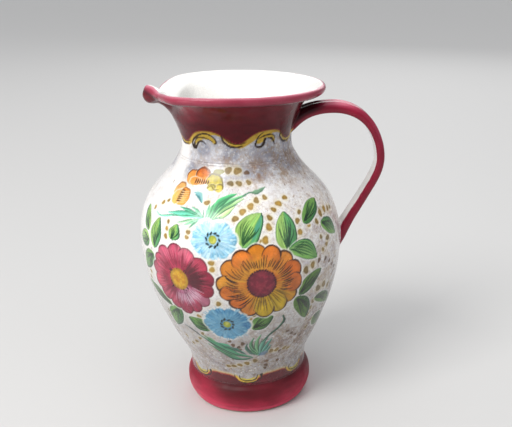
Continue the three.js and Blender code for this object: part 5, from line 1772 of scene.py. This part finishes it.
area("key", (-2.35, -1.95, 3.2), (0, 0, 0.2), 2.0, 136, (1.0, 0.985, 0.96))
area("low", (-1.5, -0.9, 0.42), (0, 0, 0.22), 0.7, 4, (1.0, 0.99, 0.97))
area("fill", (3.4, -2.3, 1.7), (0, 0, 0.2), 2.8, 12, (0.95, 0.97, 1.0))
area("back", (0.9, 3.0, 2.0), (0, 0, 0.25), 1.9, 20)
sun_data = bpy.data.lights.new("top", "SUN")
sun_data.energy = 1.25
sun_data.angle = math.radians(70)
sun = bpy.data.objects.new("top", sun_data)
sun.rotation_euler = (math.radians(8), math.radians(-6), 0)
bpy.context.scene.collection.objects.link(sun)
world = bpy.data.worlds.new("studio")
bpy.context.scene.world = world
world.use_nodes = True
bg = world.node_tree.nodes["Background"]
bg.inputs["Color"].default_value = (0.9, 0.92, 0.95, 1)
bg.inputs["Strength"].default_value = 0.42

# ------------------------------------------------------------------ camera
F_PX, DIST, CAM_H, PITCH, YAW, ROLL, CX, CY = 673.8087, 773.6110, 482.0215, 0.5719306, 0.1288556, 0.0144371, 324.1140, 390.2305
cam_data = bpy.data.cameras.new("camera")
cam = bpy.data.objects.new("camera", cam_data)
bpy.context.scene.collection.objects.link(cam)
fwd = Vector((math.sin(YAW) * math.cos(PITCH), math.cos(YAW) * math.cos(PITCH), -math.sin(PITCH)))
right = Vector((math.cos(YAW), -math.sin(YAW), 0))
upv = right.cross(fwd)
r2 = math.cos(ROLL) * right + math.sin(ROLL) * upv
u2 = -math.sin(ROLL) * right + math.cos(ROLL) * upv
rot = Matrix((r2, u2, -fwd)).transposed().to_4x4()
cam.matrix_world = Matrix.Translation((0, -DIST * MM, CAM_H * MM)) @ rot
cam_data.sensor_fit = "HORIZONTAL"
cam_data.sensor_width = 36.0
cam_data.lens = F_PX / 512 * 36.0
cam_data.clip_start = 0.05
cam_data.clip_end = 50
# The lens is shifted for the main view only. A plain curve turns the camera's distance from its own
# place into the shift: the full shift there and none from 20 mm away, so that a camera moved round
# the object looks straight at it.
home = bpy.data.objects.new("camera_home", None)
home.location = cam.location
bpy.context.scene.collection.objects.link(home)
for prop, val in (("shift_x", (256 - CX) / 512), ("shift_y", (CY - 213.5) / 512)):
    fc = cam_data.driver_add(prop)
    fc.driver.type = "SUM"
    var = fc.driver.variables.new()
    var.name = "away"
    var.type = "LOC_DIFF"
    var.targets[0].id = cam
    var.targets[1].id = home
    while len(fc.modifiers):
        fc.modifiers.remove(fc.modifiers[0])
    while len(fc.keyframe_points):
        fc.keyframe_points.remove(fc.keyframe_points[0])
    for away, shift in ((0.0, val), (0.02, 0.0)):
        fc.keyframe_points.insert(away, shift).interpolation = "LINEAR"
    fc.extrapolation = "CONSTANT"
bpy.context.scene.camera = cam
sc = bpy.context.scene
sc.view_settings.view_transform = "Standard"
sc.view_settings.look = "None"
